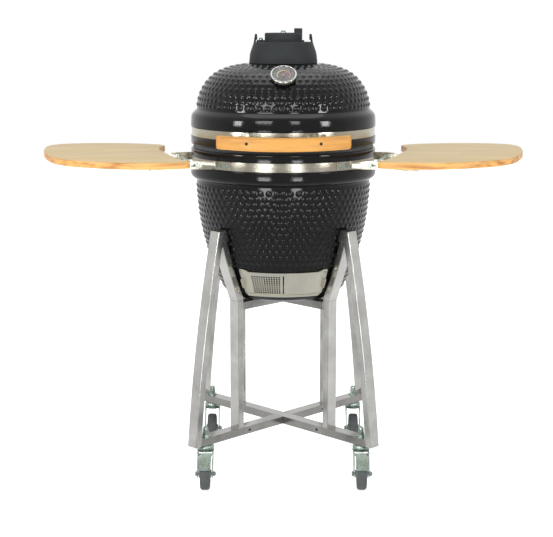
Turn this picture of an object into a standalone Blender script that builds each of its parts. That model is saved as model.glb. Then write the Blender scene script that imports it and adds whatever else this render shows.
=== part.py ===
"""Kamado ceramic grill on a wheeled stainless stand.

Metres, +Z up.  The grill's turning axis is the Z axis, the ground is z = 0
and the front of the grill faces -Y.
"""
import bpy
import bmesh
from math import asin, cos, pi, radians, sin, sqrt
from mathutils import Matrix, Vector

# ---------------------------------------------------------------- driving dimensions
GAP = 0.0003                 # clearance left where two pieces touch
STEPS = 48                   # sides of the large turned pieces

WALL = 0.021                 # ceramic wall
SHOULDER_R = 0.2600          # widest radius of the ceramic
RIM_R = 0.2580
BAND_SEAT_R = 0.2535         # groove that a steel band sits in
BAND_T = 0.0020
BASE_BAND_Z = (0.8715, 0.8956)
LID_BAND_Z = (0.9525, 0.9760)
BASE_TOP_Z = 0.9186
LID_BOTTOM_Z = 0.9286
BOWL_BOTTOM_Z = 0.5030

TUBE_W = 0.035               # stand tube, across
TUBE_T = 0.020               # stand tube, radially
RAIL_Z = (0.117, 0.139)
CROSS_Z = (0.477, 0.500)
POST_R = 0.173               # inner face of an inner post
LEG_FOOT_R = 0.354           # outer face of a leg at its foot
LEG_TOP_R = 0.262
LEG_TOP_Z = 0.705
LEG_BOW = 0.010

CASTER_R = 0.303             # swivel axis, from the grill's axis
WHEEL_R = 0.044
WHEEL_W = 0.029
PEDAL_OUT = 0.034            # brake pedal's axis, in front of the swivel axis
PEDAL_Z = 0.0960
TRAIL = 0.040                # axle offset from the swivel axis, toward the front

SHELF_SWEEP = radians(14)    # the side shelves sweep forward by this angle
SHELF_TOP_Z = 0.9142
SHELF_T = 0.018
SHELF_PIVOT = (0.272, 0.885)  # hinge rod: distance out from the axis, height
ARM_Y = 0.1305               # bracket arm, sideways from the shelf's centre line

LID_HINGE = Vector((0.0, 0.290, 0.9236))
VENT_PIVOT = Vector((-0.062, 0.0, 1.2080))
DIAL_TILT = radians(52)      # the dial faces this far up from level
DIAL_SEAT = Vector((0.0, -0.1985, 1.1175))
DIAL_NORMAL = Vector((0.0, -cos(DIAL_TILT), sin(DIAL_TILT)))

PLATE_FOOT_Z = 0.5215        # draft door, bottom and top
PLATE_HEAD_Z = 0.5930

# ---------------------------------------------------------------- scene set-up
for old in list(bpy.data.objects):
    bpy.data.objects.remove(old, do_unlink=True)

grill = bpy.data.collections.new("kamado_grill")
cutters = bpy.data.collections.new("cutters")
for collection in (grill, cutters):
    bpy.context.scene.collection.children.link(collection)
cutters.hide_render = True


def material(name, colour, roughness, metallic=0.0):
    mat = bpy.data.materials.new(name)
    mat.use_nodes = True
    surface = mat.node_tree.nodes["Principled BSDF"]
    surface.inputs["Base Color"].default_value = (*colour, 1.0)
    surface.inputs["Roughness"].default_value = roughness
    surface.inputs["Metallic"].default_value = metallic
    return mat


GLAZE = material("black_glaze", (0.012, 0.012, 0.013), 0.16)
FIRECLAY = material("fireclay", (0.47, 0.38, 0.29), 0.9)
STEEL = material("polished_stainless", (0.66, 0.66, 0.65), 0.2, 1.0)
BRUSHED = material("brushed_stainless", (0.58, 0.58, 0.57), 0.34, 1.0)
ZINC = material("zinc_plate", (0.60, 0.63, 0.64), 0.32, 1.0)
IRON = material("cast_iron", (0.05, 0.052, 0.055), 0.62, 0.6)
BAMBOO = material("bamboo", (0.76, 0.55, 0.28), 0.45)
HONEY = material("honey_bamboo", (0.72, 0.40, 0.12), 0.42)
RUBBER = material("grey_rubber", (0.05, 0.052, 0.058), 0.7)
FELT = material("gasket_felt", (0.02, 0.02, 0.02), 0.95)
NEEDLE_RED = material("needle_red", (0.55, 0.03, 0.02), 0.4)


# ---------------------------------------------------------------- modelling functions
def finish(obj, mat, origin=None):
    """Give obj its material and put its origin on its own axis."""
    obj.data.materials.clear()
    obj.data.materials.append(mat)
    if origin is not None:
        obj.data.transform(Matrix.Translation(-Vector(origin)))
        obj.location = origin
    return obj


def from_bmesh(name, bm, collection=grill):
    mesh = bpy.data.meshes.new(name)
    bm.to_mesh(mesh)
    bm.free()
    obj = bpy.data.objects.new(name, mesh)
    collection.objects.link(obj)
    if collection is cutters:
        obj.display_type = "WIRE"
    return obj


def box(name, low, high, matrix=Matrix(), collection=grill):
    """A box between two corners, placed by matrix."""
    bm = bmesh.new()
    size = [b - a for a, b in zip(low, high)]
    centre = [(a + b) / 2 for a, b in zip(low, high)]
    bmesh.ops.create_cube(bm, size=1.0, matrix=matrix @ Matrix.Translation(centre)
                          @ Matrix.Diagonal((*size, 1.0)))
    return from_bmesh(name, bm, collection)


def cylinder(name, radius, length, matrix, sides=24, collection=grill):
    """A cylinder centred on matrix, along its local Z."""
    bm = bmesh.new()
    bmesh.ops.create_cone(bm, cap_ends=True, segments=sides, radius1=radius,
                          radius2=radius, depth=length, matrix=matrix)
    return from_bmesh(name, bm, collection)


def turned(name, profile, steps=STEPS, matrix=Matrix(), collection=grill):
    """A turned solid from (radius, height) points, outer side from top to bottom."""
    bm = bmesh.new()
    points = [bm.verts.new((r, 0.0, z)) for r, z in profile]
    for first, second in zip(points, points[1:]):
        bm.edges.new((first, second))
    if profile[0][0] > 0.0 or profile[-1][0] > 0.0:
        bm.edges.new((points[-1], points[0]))
    obj = from_bmesh(name, bm, collection)
    screw = obj.modifiers.new("turn", "SCREW")
    screw.axis = "Z"
    screw.steps = steps
    screw.render_steps = steps
    screw.use_merge_vertices = True
    screw.merge_threshold = 0.00001
    screw.use_smooth_shade = True
    return settle(obj, matrix)


def settle(obj, matrix=Matrix()):
    """Turn obj's modifiers into plain mesh and place it by matrix."""
    view = bpy.context.evaluated_depsgraph_get()
    view.update()
    mesh = bpy.data.meshes.new_from_object(obj.evaluated_get(view))
    obj.modifiers.clear()
    obj.data = mesh
    mesh.transform(matrix)
    return obj


def outline_solid(name, outline, thickness, matrix=Matrix(), holes=(), collection=grill):
    """A flat outline in local XY, with holes, made thickness deep along local Z."""
    curve = bpy.data.curves.new(name, "CURVE")
    curve.dimensions = "2D"
    curve.fill_mode = "BOTH"
    curve.extrude = thickness / 2
    for ring in (outline, *holes):
        spline = curve.splines.new("POLY")
        spline.points.add(len(ring) - 1)
        for point, (x, y) in zip(spline.points, ring):
            point.co = (x, y, 0.0, 1.0)
        spline.use_cyclic_u = True
    shape = bpy.data.objects.new(name + "_outline", curve)
    grill.objects.link(shape)
    view = bpy.context.evaluated_depsgraph_get()
    view.update()
    mesh = bpy.data.meshes.new_from_object(shape.evaluated_get(view))
    bpy.data.objects.remove(shape, do_unlink=True)
    bm = bmesh.new()
    bm.from_mesh(mesh)
    bmesh.ops.remove_doubles(bm, verts=bm.verts, dist=0.00001)
    bmesh.ops.recalc_face_normals(bm, faces=bm.faces)
    bm.transform(matrix)
    return from_bmesh(name, bm, collection)


def combine(target, others, operation="DIFFERENCE"):
    """Cut, add or intersect target with other solids."""
    for other in others:
        step = target.modifiers.new(operation.lower(), "BOOLEAN")
        step.operation = operation
        step.solver = "EXACT"
        step.object = other
    settle(target)
    for other in others:
        bpy.data.objects.remove(other, do_unlink=True)
    return target


def cut(target, *others):
    return combine(target, others, "DIFFERENCE")


def add(target, *others):
    return combine(target, others, "UNION")


def along(point, direction):
    """A matrix whose local Z runs along direction, at point."""
    turn = Vector(direction).to_track_quat("Z", "Y").to_matrix().to_4x4()
    return Matrix.Translation(point) @ turn


def arc(centre, radius, start, end, count):
    """Points on an arc, angles in radians."""
    step = (end - start) / (count - 1)
    return [(centre[0] + radius * cos(start + i * step),
             centre[1] + radius * sin(start + i * step)) for i in range(count)]


def circle(centre, radius, count=16):
    return arc(centre, radius, 0.0, 2 * pi * (1 - 1 / count), count)


def parent_to(obj, empty):
    obj.parent = empty
    obj.matrix_parent_inverse = empty.matrix_basis.inverted()


def pivot(name, place, children):
    """An empty on a joint's axis that carries the pieces that move about it."""
    empty = bpy.data.objects.new(name, None)
    empty.empty_display_size = 0.03
    empty.location = place
    grill.objects.link(empty)
    for child in children:
        parent_to(child, empty)
    return empty


# ---------------------------------------------------------------- ceramic base and its band
BODY_PROFILE = [
    (0.2433, 0.8285), (0.2425, 0.802), (0.240, 0.773), (0.236, 0.734), (0.228, 0.688),
    (0.219, 0.654), (0.213, 0.630), (0.202, 0.598), (0.189, 0.565), (0.1755, 0.5355),
    (0.1635, 0.512), (0.143, BOWL_BOTTOM_Z)]


def base_bowl():
    """The ceramic bowl with its rim, band groove, shoulder and draft window."""
    low, high = BASE_BAND_Z
    outer = [(0.2545, BASE_TOP_Z), (RIM_R, BASE_TOP_Z - 0.003), (RIM_R, high + GAP),
             (BAND_SEAT_R, high + GAP), (BAND_SEAT_R, low - GAP), (SHOULDER_R, low - GAP),
             (SHOULDER_R, 0.8414)] + BODY_PROFILE + [(0.0, BOWL_BOTTOM_Z)]
    inner = [(0.0, BOWL_BOTTOM_Z + WALL), (0.125, BOWL_BOTTOM_Z + WALL), (0.152, 0.5355),
             (0.179, 0.598), (0.196, 0.654), (0.213, 0.734), (0.220, 0.802),
             (0.2325, 0.868), (0.2325, BASE_TOP_Z)]
    bowl = turned("base_bowl", inner + outer)
    window = box("draft_window", (-0.095, -0.26, 0.5375), (0.095, -0.10, 0.5770),
                 collection=cutters)
    return finish(cut(bowl, window), GLAZE)


def band(name, heights):
    low, high = heights
    inner = BAND_SEAT_R + GAP
    ring = turned(name, [(inner + BAND_T, high), (inner + BAND_T, low), (inner, low),
                         (inner, high)])
    return finish(ring, STEEL)


def base_gasket():
    low, high = BASE_TOP_Z + GAP, LID_BOTTOM_Z - GAP
    ring = turned("base_gasket", [(0.2520, high), (0.2520, low), (0.2360, low),
                                  (0.2360, high)])
    return finish(ring, FELT)


# ---------------------------------------------------------------- fire parts inside the bowl
def firebox():
    profile = [(0.117, 0.5285), (0.130, 0.548), (0.174, 0.668), (0.194, 0.740), (0.207, 0.740),
               (0.190, 0.660), (0.150, 0.548), (0.131, 0.5285)]
    cup = turned("firebox", profile, 36)
    mouth = box("ash_mouth", (-0.055, -0.24, 0.549), (0.055, -0.05, 0.590), collection=cutters)
    return finish(cut(cup, mouth), FIRECLAY)


def fire_ring():
    ring = turned("fire_ring", [(0.207, 0.862), (0.205, 0.7403), (0.180, 0.7403),
                                (0.185, 0.862)], 36)
    return finish(ring, FIRECLAY)


def charcoal_grate():
    """A cast disc with air slots, on the firebox's taper."""
    slots = []
    for i in range(-3, 4):
        half = sqrt(0.120 ** 2 - (0.030 * i) ** 2) - 0.012
        slots.append([(0.030 * i - 0.006, -half), (0.030 * i + 0.006, -half),
                      (0.030 * i + 0.006, half), (0.030 * i - 0.006, half)])
    disc = outline_solid("charcoal_grate", circle((0, 0), 0.147, 36), 0.010,
                         Matrix.Translation((0, 0, 0.6100)), slots)
    return finish(disc, IRON)


def cooking_grid():
    """Steel bars inside a ring, lying on the fire ring."""
    z = 0.8665
    ring = turned("cooking_grid", [(0.200, z + 0.004), (0.200, z - 0.004),
                                   (0.192, z - 0.004), (0.192, z + 0.004)], 36)
    bars = []
    for i in range(-5, 6):
        x = 0.034 * i
        half = sqrt(0.195 ** 2 - x ** 2)
        bars.append(box("bar", (x - 0.002, -half, z - 0.002), (x + 0.002, half, z + 0.002),
                        collection=cutters))
    return finish(add(ring, *bars), BRUSHED)


# ---------------------------------------------------------------- draft door
def bowl_radius(z):
    """Outer radius of the bowl's lower cone, where the draft door lies."""
    return 0.1755 + (z - 0.5355) * 0.432


def cone_sector(name, low, high, inner, outer, start, end, steps=96):
    """A conical plate between two heights, two offsets from the bowl and two angles."""
    plate = turned(name, [(bowl_radius(high) + outer, high), (bowl_radius(low) + outer, low),
                          (bowl_radius(low) + inner, low), (bowl_radius(high) + inner, high)],
                   steps)
    return keep_sector(plate, start, end)


def keep_sector(plate, start, end):
    """Keep the part of a turned piece between two angles, measured from the front."""
    wedge = [(0.0, 0.0)] + [(0.35 * sin(a), -0.35 * cos(a))
                            for a in (start, (start + end) / 2, end)]
    tool = outline_solid("sector", wedge, 0.4, Matrix.Translation((0, 0, 0.55)),
                         collection=cutters)
    return combine(plate, [tool], "INTERSECT")


def draft_frame():
    """A channel with a window, curved round the bowl."""
    lip = 0.006
    head, foot = PLATE_HEAD_Z, PLATE_FOOT_Z
    points = [(head, 0.0088), (head - lip, 0.0088), (head - lip, 0.0027), (foot + lip, 0.0027),
              (foot + lip, 0.0088), (foot, 0.0088), (foot, 0.0012), (head, 0.0012)]
    profile = [(bowl_radius(z) + offset, z) for z, offset in points]
    frame = turned("draft_frame", profile, 96)
    keep_sector(frame, radians(-38), radians(38))
    window = box("door_window", (-0.090, -0.26, 0.5375), (0.090, -0.10, 0.5770),
                 collection=cutters)
    return finish(cut(frame, window), BRUSHED)


def finger_tab(angle, offset):
    """A small tab standing out of a slide."""
    low, high = 0.543, 0.571
    outline = [(bowl_radius(low) + offset, low), (bowl_radius(low) + 0.016, low),
               (bowl_radius(high) + 0.016, high), (bowl_radius(high) + offset, high)]
    upright = Matrix.Rotation(angle - pi / 2, 4, "Z") @ Matrix.Rotation(pi / 2, 4, "X")
    return outline_solid("tab", outline, 0.002, upright, collection=cutters)


def draft_mesh_slide():
    """The perforated slide on the left, behind the plain one."""
    slide = cone_sector("draft_mesh_slide", 0.5282, 0.5862, 0.0031, 0.0043,
                        radians(-36), radians(-0.5))
    holes = []
    for i in range(6):
        for j in range(4):
            turn = Matrix.Rotation(radians(-4.2 - 4.6 * i), 4, "Z")
            z = 0.5395 + 0.0118 * j
            holes.append(box("hole", (-0.0045, -0.23, z - 0.0038), (0.0045, -0.15, z + 0.0038),
                             turn, cutters))
    cut(slide, *holes)
    return finish(add(slide, finger_tab(radians(-34.5), 0.0036)), BRUSHED, (0, 0, 0.557))


def draft_solid_slide():
    """The plain slide on the right, in front of the perforated one."""
    slide = cone_sector("draft_solid_slide", 0.5282, 0.5862, 0.0047, 0.0061,
                        radians(0.5), radians(36))
    return finish(add(slide, finger_tab(radians(34.5), 0.0053)), BRUSHED, (0, 0, 0.557))


# ---------------------------------------------------------------- lid
DOME_PROFILE = [
    (0.060, 1.1490), (0.095, 1.1490), (0.1448, 1.1416), (0.1667, 1.1339), (0.1875, 1.1251),
    (0.2075, 1.1085), (0.2195, 1.0928), (0.2296, 1.0761), (0.2357, 1.0594), (0.2399, 1.0426),
    (0.2411, 1.0258), (0.2567, 1.0111), (0.2580, 0.9900)]


def lid_dome():
    low, high = LID_BAND_Z
    outer = DOME_PROFILE + [(0.2580, high + GAP), (BAND_SEAT_R, high + GAP),
                            (BAND_SEAT_R, low - GAP), (RIM_R, low - GAP),
                            (RIM_R, LID_BOTTOM_Z + 0.003), (0.2545, LID_BOTTOM_Z)]
    inner = [(0.2325, LID_BOTTOM_Z), (0.2325, 0.9800), (0.2190, 1.0258), (0.2150, 1.0594),
             (0.2000, 1.0850), (0.1780, 1.1060), (0.1400, 1.1220), (0.060, 1.1280)]
    dome = turned("lid_dome", outer + inner)
    bore = cylinder("probe_bore", 0.0055, 0.08, along(DIAL_SEAT, DIAL_NORMAL), 16, cutters)
    return finish(cut(dome, bore), GLAZE, LID_HINGE)


def lid_handle():
    """A bowed wooden bar with rounded ends."""
    bow_centre, radius, half = (0.0, 0.113), 0.420, asin(0.174 / 0.420)
    front = arc(bow_centre, radius, -pi / 2 - half, -pi / 2 + half, 13)
    back = arc(bow_centre, radius - 0.024, -pi / 2 + half, -pi / 2 - half, 13)
    bar = outline_solid("lid_handle", front + back, 0.034, Matrix.Translation((0, 0, 0.952)))
    soften = bar.modifiers.new("round", "BEVEL")
    soften.width = 0.004
    soften.segments = 1
    soften.limit_method = "ANGLE"
    soften.angle_limit = radians(50)
    return finish(settle(bar), HONEY, LID_HINGE)


def handle_bracket(name, side):
    """A strap from the lid band to the back of the handle."""
    def on_ring(radius, x):
        return side * x, -sqrt(radius ** 2 - x ** 2)

    def on_bar(x):
        return side * x, 0.113 - sqrt((0.396 - GAP) ** 2 - x ** 2)

    strap = 0.0025
    seat = BAND_SEAT_R + BAND_T + 2 * GAP
    outline = [on_ring(seat, 0.062), on_ring(seat, 0.075), on_ring(seat, 0.088),
               (side * 0.093, on_bar(0.093)[1] + strap), (side * 0.112, on_bar(0.112)[1] + strap),
               on_bar(0.112), on_bar(0.101), on_bar(0.0905),
               on_ring(seat + strap, 0.0855), on_ring(seat + strap, 0.075),
               on_ring(seat + strap, 0.062)]
    piece = outline_solid(name, outline, 0.021, Matrix.Translation((0, 0, 0.9642)))
    return finish(piece, STEEL, LID_HINGE)


# ---------------------------------------------------------------- chimney and vent
def vent_base():
    """The hollow cast cone with two upright ears and a pivot hole."""
    foot = DOME_PROFILE[1][1] + GAP
    cone = turned("vent_base", [(0.0815, 1.2077), (0.0905, 1.1900), (0.0945, 1.1780),
                                (0.0950, foot), (0.0600, foot), (0.0600, 1.1900),
                                (0.0500, 1.2010), (0.0500, 1.2077)], 36)
    ears = []
    upright = Matrix.Rotation(pi / 2, 4, "X")
    for side in (-1, 1):
        shape = [(side * 0.0815, 1.2050), (side * 0.0800, 1.2296), (side * 0.0780, 1.2296),
                 (side * 0.0758, 1.2080), (side * 0.0758, 1.2000), (side * 0.0815, 1.2000)]
        ears.append(outline_solid("ear", shape, 0.014, upright, collection=cutters))
    add(cone, *ears)
    bore = cylinder("pivot_bore", 0.0034, 0.04, Matrix.Translation(VENT_PIVOT), 12, cutters)
    return finish(cut(cone, bore), IRON, LID_HINGE)


def petals(count, distance, radius, turn=0.0):
    return [circle((distance * cos(turn + 2 * pi * i / count),
                    distance * sin(turn + 2 * pi * i / count)), radius, 12)
            for i in range(count)]


def vent_slide_plate():
    """The plate that swings aside, with round air holes."""
    disc_r, lug_r = 0.058, 0.012
    outline = (arc((0, 0), disc_r, radians(-168), radians(168), 41)
               + arc((VENT_PIVOT.x, 0), lug_r, radians(100), radians(260), 9))
    holes = petals(4, 0.029, 0.011, pi / 4) + [circle((0, 0), 0.0044, 12),
                                               circle((VENT_PIVOT.x, 0), 0.0034, 12)]
    plate = outline_solid("vent_slide_plate", outline, 0.0045,
                          Matrix.Translation((0, 0, 1.21035)), holes)
    return finish(plate, IRON, VENT_PIVOT)


def vent_wheel():
    """The thick daisy-wheel cap with its thumb tab."""
    cap = turned("vent_wheel", [(0.0044, 1.2325), (0.0490, 1.2325), (0.0515, 1.2305),
                                (0.0515, 1.2130), (0.0460, 1.2130), (0.0460, 1.2275),
                                (0.0044, 1.2275)], 32)
    tools = [outline_solid("petal", ring, 0.02, Matrix.Translation((0, 0, 1.23)),
                           collection=cutters) for ring in petals(4, 0.029, 0.011, pi / 4)]
    cut(cap, *tools)
    tab = box("tab", (0.0315, -0.003, 1.2310), (0.0510, 0.003, 1.2450), collection=cutters)
    return finish(add(cap, tab), IRON, (0, 0, 1.2325))


def screw(name, place, head_r, head_h, shaft_r, shaft_l, mat, sides=16):
    """A screw standing with its head up; place is under the head."""
    body = turned(name, [(0.0, head_h), (head_r * 0.7, head_h), (head_r, head_h * 0.6),
                         (head_r, 0.0), (shaft_r, 0.0), (shaft_r, -shaft_l), (0.0, -shaft_l)],
                  sides, Matrix.Translation(place))
    return finish(body, mat, place)


# ---------------------------------------------------------------- thermometer
def thermometer_case():
    """A dial case with a recessed face and a probe through the dome."""
    profile = [(0.0, 0.0090), (0.0295, 0.0090), (0.0310, 0.0150), (0.0350, 0.0130),
               (0.0350, 0.0040), (0.0300, 0.0020), (0.0045, 0.0020), (0.0045, -0.0450),
               (0.0, -0.0480)]
    body = turned("thermometer_case", profile, 28, along(DIAL_SEAT, DIAL_NORMAL))
    return finish(body, STEEL, LID_HINGE)


def thermometer_needle():
    """The pointer, turning on the dial's centre."""
    place = along(DIAL_SEAT, DIAL_NORMAL) @ Matrix.Rotation(radians(-40), 4, "Z")
    hub = cylinder("thermometer_needle", 0.0032, 0.0016, place @ Matrix.Translation((0, 0, 0.0104)),
                   12)
    blade = box("blade", (-0.0011, -0.006, 0.0100), (0.0011, 0.0225, 0.0108), place, cutters)
    return finish(add(hub, blade), NEEDLE_RED, DIAL_SEAT + 0.0104 * DIAL_NORMAL)


# ---------------------------------------------------------------- lid hinge at the back
def hinge_bracket(name, arm_x, plate_z, tip):
    """A bolted plate with two arms that hold the hinge pin."""
    wall_y = BAND_SEAT_R + BAND_T + 3 * GAP
    low, high = plate_z
    piece = box(name, (-arm_x - 0.0015, wall_y, low), (arm_x + 0.0015, wall_y + 0.003, high))
    side_on = Matrix(((0, 0, 1, 0), (1, 0, 0, 0), (0, 1, 0, 0), (0, 0, 0, 1)))
    eye = (LID_HINGE.y, LID_HINGE.z)
    arms = []
    for side in (-1, 1):
        outline = [(wall_y, low), (wall_y, high)] + arc(eye, 0.009, tip + pi / 2, tip - pi / 2, 9)
        arms.append(outline_solid("arm", outline, 0.003,
                                  Matrix.Translation((side * arm_x, 0, 0)) @ side_on,
                                  [circle(eye, 0.0044, 12)], cutters))
    return finish(add(piece, *arms), STEEL, LID_HINGE)


def hinge_pin():
    rod = turned("hinge_pin", [(0.0, 0.038), (0.0062, 0.038), (0.0062, 0.0335), (0.0040, 0.0335),
                               (0.0040, -0.0335), (0.0062, -0.0335), (0.0062, -0.038),
                               (0.0, -0.038)], 12, along(LID_HINGE, (1, 0, 0)))
    return finish(rod, ZINC, LID_HINGE)


# ---------------------------------------------------------------- stand
def diagonal(quarter):
    """Local X out along one of the four diagonals, local Z up."""
    return Matrix.Rotation(radians(45 + 90 * quarter), 4, "Z")


def leg_face(z):
    """Outer face of a leg, bowed a little outward."""
    t = (z - RAIL_Z[0]) / (LEG_TOP_Z - RAIL_Z[0])
    return LEG_FOOT_R + (LEG_TOP_R - LEG_FOOT_R) * t + 4 * LEG_BOW * t * (1 - t)


def arm_face(z):
    """Inner face of the arm that carries the bowl."""
    foot, head = (POST_R, 0.512), (LEG_TOP_R - 0.021, LEG_TOP_Z)
    t = (z - foot[1]) / (head[1] - foot[1])
    return foot[0] + (head[0] - foot[0]) * t + 4 * 0.0045 * t * (1 - t)


def leg(name, quarter):
    """Outer leg, slanted arm and inner post, welded into one frame side."""
    def heights(start, end, count):
        return [start + (end - start) * i / (count - 1) for i in range(count)]

    crotch_z = 0.660
    slant = TUBE_T * 1.06
    outer = [(leg_face(z), z) for z in heights(RAIL_Z[0], LEG_TOP_Z, 8)]
    inner_arm = [(arm_face(z), z) for z in heights(LEG_TOP_Z, 0.512, 5)]
    post_foot = RAIL_Z[1] + GAP
    post = [(POST_R, post_foot), (POST_R + TUBE_T, post_foot), (POST_R + TUBE_T, 0.503)]
    under_arm = [(arm_face(z) + slant, z) for z in heights(0.545, crotch_z, 4)]
    inner_leg = [(leg_face(z) - TUBE_T * 1.02, z) for z in heights(crotch_z - 0.004, RAIL_Z[0], 7)]
    outline = outer + inner_arm + post + under_arm + inner_leg
    flat = Matrix.Rotation(pi / 2, 4, "X")
    return finish(outline_solid(name, outline, TUBE_W, diagonal(quarter) @ flat), STEEL)


def bottom_rail(name, quarter, notch_up):
    """A long diagonal rail, half-lapped at its middle, with two caster holes."""
    low, high = RAIL_Z
    middle = (low + high) / 2
    end = leg_face(high) - TUBE_T * 1.02 - GAP
    half = TUBE_W / 2
    turn = diagonal(quarter)
    rail = box(name, (-end, -half, low), (end, half, high), turn)
    notch = half + GAP
    z0, z1 = (middle - GAP / 2, high + 0.01) if notch_up else (low - 0.01, middle + GAP / 2)
    tools = [box("notch", (-notch, -notch - 0.01, z0), (notch, notch + 0.01, z1), turn, cutters)]
    for side in (-1, 1):
        tools.append(cylinder("stem_hole", 0.0064, 0.06,
                              turn @ Matrix.Translation((side * CASTER_R, 0, middle)), 16, cutters))
    return finish(cut(rail, *tools), STEEL)


def top_cross():
    """Two rails welded into a cross under the bowl."""
    low, high = CROSS_Z
    end, half = POST_R - GAP, TUBE_W / 2
    first = box("top_cross", (-end, -half, low), (end, half, high), diagonal(0))
    second = box("rail", (-end, -half, low), (end, half, high), diagonal(1), cutters)
    return finish(add(first, second), STEEL)


# ---------------------------------------------------------------- casters
def caster(corner, quarter, braked):
    """Stem, fork, wheel and axle of one caster, and its pedal if it has a brake."""
    out = diagonal(quarter) @ Vector((CASTER_R, 0, 0))
    place = Matrix.Translation((out.x, out.y, 0))
    stem_top, crown = RAIL_Z[1] + 0.028, RAIL_Z[0] - 0.0130
    stem = turned("caster_stem_" + corner, [
        (0.0, stem_top), (0.0070, stem_top - 0.005), (0.0080, stem_top - 0.016),
        (0.0125, stem_top - 0.0175), (0.0125, RAIL_Z[1] + GAP),
        (0.0060, RAIL_Z[1] + GAP), (0.0060, RAIL_Z[0] - GAP), (0.0200, RAIL_Z[0] - GAP),
        (0.0235, RAIL_Z[0] - 0.006), (0.0235, crown + GAP), (0.0060, crown + GAP),
        (0.0060, crown - 0.0053), (0.0090, crown - 0.0053), (0.0080, crown - 0.0080),
        (0.0, crown - 0.0080)], 12, place)
    finish(stem, ZINC, out)

    axle = Vector((0, -TRAIL, WHEEL_R))
    side_on = Matrix(((0, 0, 1, 0), (1, 0, 0, 0), (0, 1, 0, 0), (0, 0, 0, 1)))
    plate_x, plate_t = 0.0205, 0.0025
    pedal_axis = Vector((0, -PEDAL_OUT, PEDAL_Z))
    fork = turned("caster_fork_" + corner, [(0.0215, crown), (0.0240, crown - 0.0020),
                                            (0.0240, crown - 0.0050), (0.0065, crown - 0.0050),
                                            (0.0065, crown)], 16, place)
    cheeks = []
    for side in (-1, 1):
        outline = [(0.018, crown - 0.0010), (0.018, crown - 0.014)]
        outline += arc((-TRAIL, WHEEL_R), 0.0115, radians(-25), radians(-190), 9)
        outline += [(-0.046, 0.0860), (-0.042, 0.1010), (-0.020, crown - 0.0010)]
        holes = [circle((-TRAIL, WHEEL_R), 0.0044, 12)]
        if braked:
            holes.append(circle((pedal_axis.y, pedal_axis.z), 0.0029, 8))
        cheeks.append(outline_solid("cheek", outline, plate_t,
                                    place @ Matrix.Translation((side * plate_x, 0, 0)) @ side_on,
                                    holes, cutters))
    finish(add(fork, *cheeks), ZINC, out)

    along_x = place @ along(axle, (1, 0, 0))
    half = WHEEL_W / 2
    wheel = turned("caster_wheel_" + corner, [
        (0.0045, half + 0.0030), (0.0110, half + 0.0030), (0.0120, half - 0.002),
        (0.0395, half - 0.001), (WHEEL_R, half - 0.006), (WHEEL_R, -half + 0.006),
        (0.0395, -half + 0.001), (0.0120, -half + 0.002), (0.0110, -half - 0.0030),
        (0.0045, -half - 0.0030)], 24, along_x)
    finish(wheel, RUBBER, place @ axle)

    face = plate_x + plate_t / 2 + GAP
    bolt = turned("caster_axle_" + corner, [
        (0.0, face + 0.0085), (0.0035, face + 0.0080), (0.0040, face + 0.0055),
        (0.0072, face + 0.0055), (0.0072, face), (0.0040, face), (0.0040, -face),
        (0.0072, -face), (0.0072, -face - 0.0055), (0.0, -face - 0.0055)], 12, along_x)
    finish(bolt, ZINC, place @ axle)

    pieces = [fork, bolt]
    if braked:
        pieces.append(brake_pedal("brake_pedal_" + corner, place @ pedal_axis))
    swivel = pivot("swivel_" + corner, (out.x, out.y, crown), pieces)
    turn = pivot("roll_" + corner, place @ axle, [wheel])
    parent_to(turn, swivel)


def brake_pedal(name, axis):
    """A plate on a barrel between the fork's cheeks, with a lip turned down at its tip."""
    at_axis = Matrix.Translation(axis)
    barrel = turned(name, [(0.0, 0.0210), (0.0025, 0.0210), (0.0025, 0.0185), (0.0040, 0.0185),
                           (0.0040, -0.0185), (0.0025, -0.0185), (0.0025, -0.0210),
                           (0.0, -0.0210)], 12, at_axis @ along((0, 0, 0), (1, 0, 0)))
    thick, reach, slope, lip = 0.0025, 0.052, radians(24), 0.008
    tip = Vector((-reach * cos(slope), -reach * sin(slope)))
    normal = Vector((-sin(slope), cos(slope)))
    low, high = normal * 0.0012, normal * (0.0012 + thick)
    outline = [low, high, tip + high, tip + Vector((-thick, -lip)), tip + Vector((0, -lip)),
               tip + low]
    side_on = Matrix(((0, 0, 1, 0), (1, 0, 0, 0), (0, 1, 0, 0), (0, 0, 0, 1)))
    pad = outline_solid("pad", outline, 0.034, at_axis @ side_on, collection=cutters)
    return finish(add(barrel, pad), ZINC, axis)


# ---------------------------------------------------------------- side shelves
def shelf_frame_matrix(side):
    """Local X out along a shelf's centre line: side -1 is the left, +1 the right."""
    angle = pi + SHELF_SWEEP if side < 0 else -SHELF_SWEEP
    return Matrix.Rotation(angle, 4, "Z")


def shelf_bracket(name, side, y_sign):
    """A strip bolted round the band, bent into an arm with a slot."""
    seat = BAND_SEAT_R + BAND_T + 2 * GAP
    strip = 0.0028
    bend = asin(ARM_Y / seat)
    tail = bend + radians(12)
    ring_inner = arc((0, 0), seat, tail, bend, 4)
    corner = (sqrt((seat + strip) ** 2 - (ARM_Y + strip) ** 2), ARM_Y + strip)
    outline = ring_inner + [(0.295, ARM_Y), (0.295, ARM_Y + strip), corner]
    outline += arc((0, 0), seat + strip, bend + radians(1.2), tail, 4)
    outline = [(x, y_sign * y) for x, y in outline]
    low, high = BASE_BAND_Z[0] + 0.002, BASE_BAND_Z[1]
    turn = shelf_frame_matrix(side)
    piece = outline_solid(name, outline, high - low,
                          turn @ Matrix.Translation((0, 0, (low + high) / 2)))
    x, z = SHELF_PIVOT
    slot = box("slot", (x - 0.0033, -0.2, z - 0.0031), (x + 0.0160, 0.2, z + 0.0031), turn,
               cutters)
    return finish(cut(piece, slot), STEEL)


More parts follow.
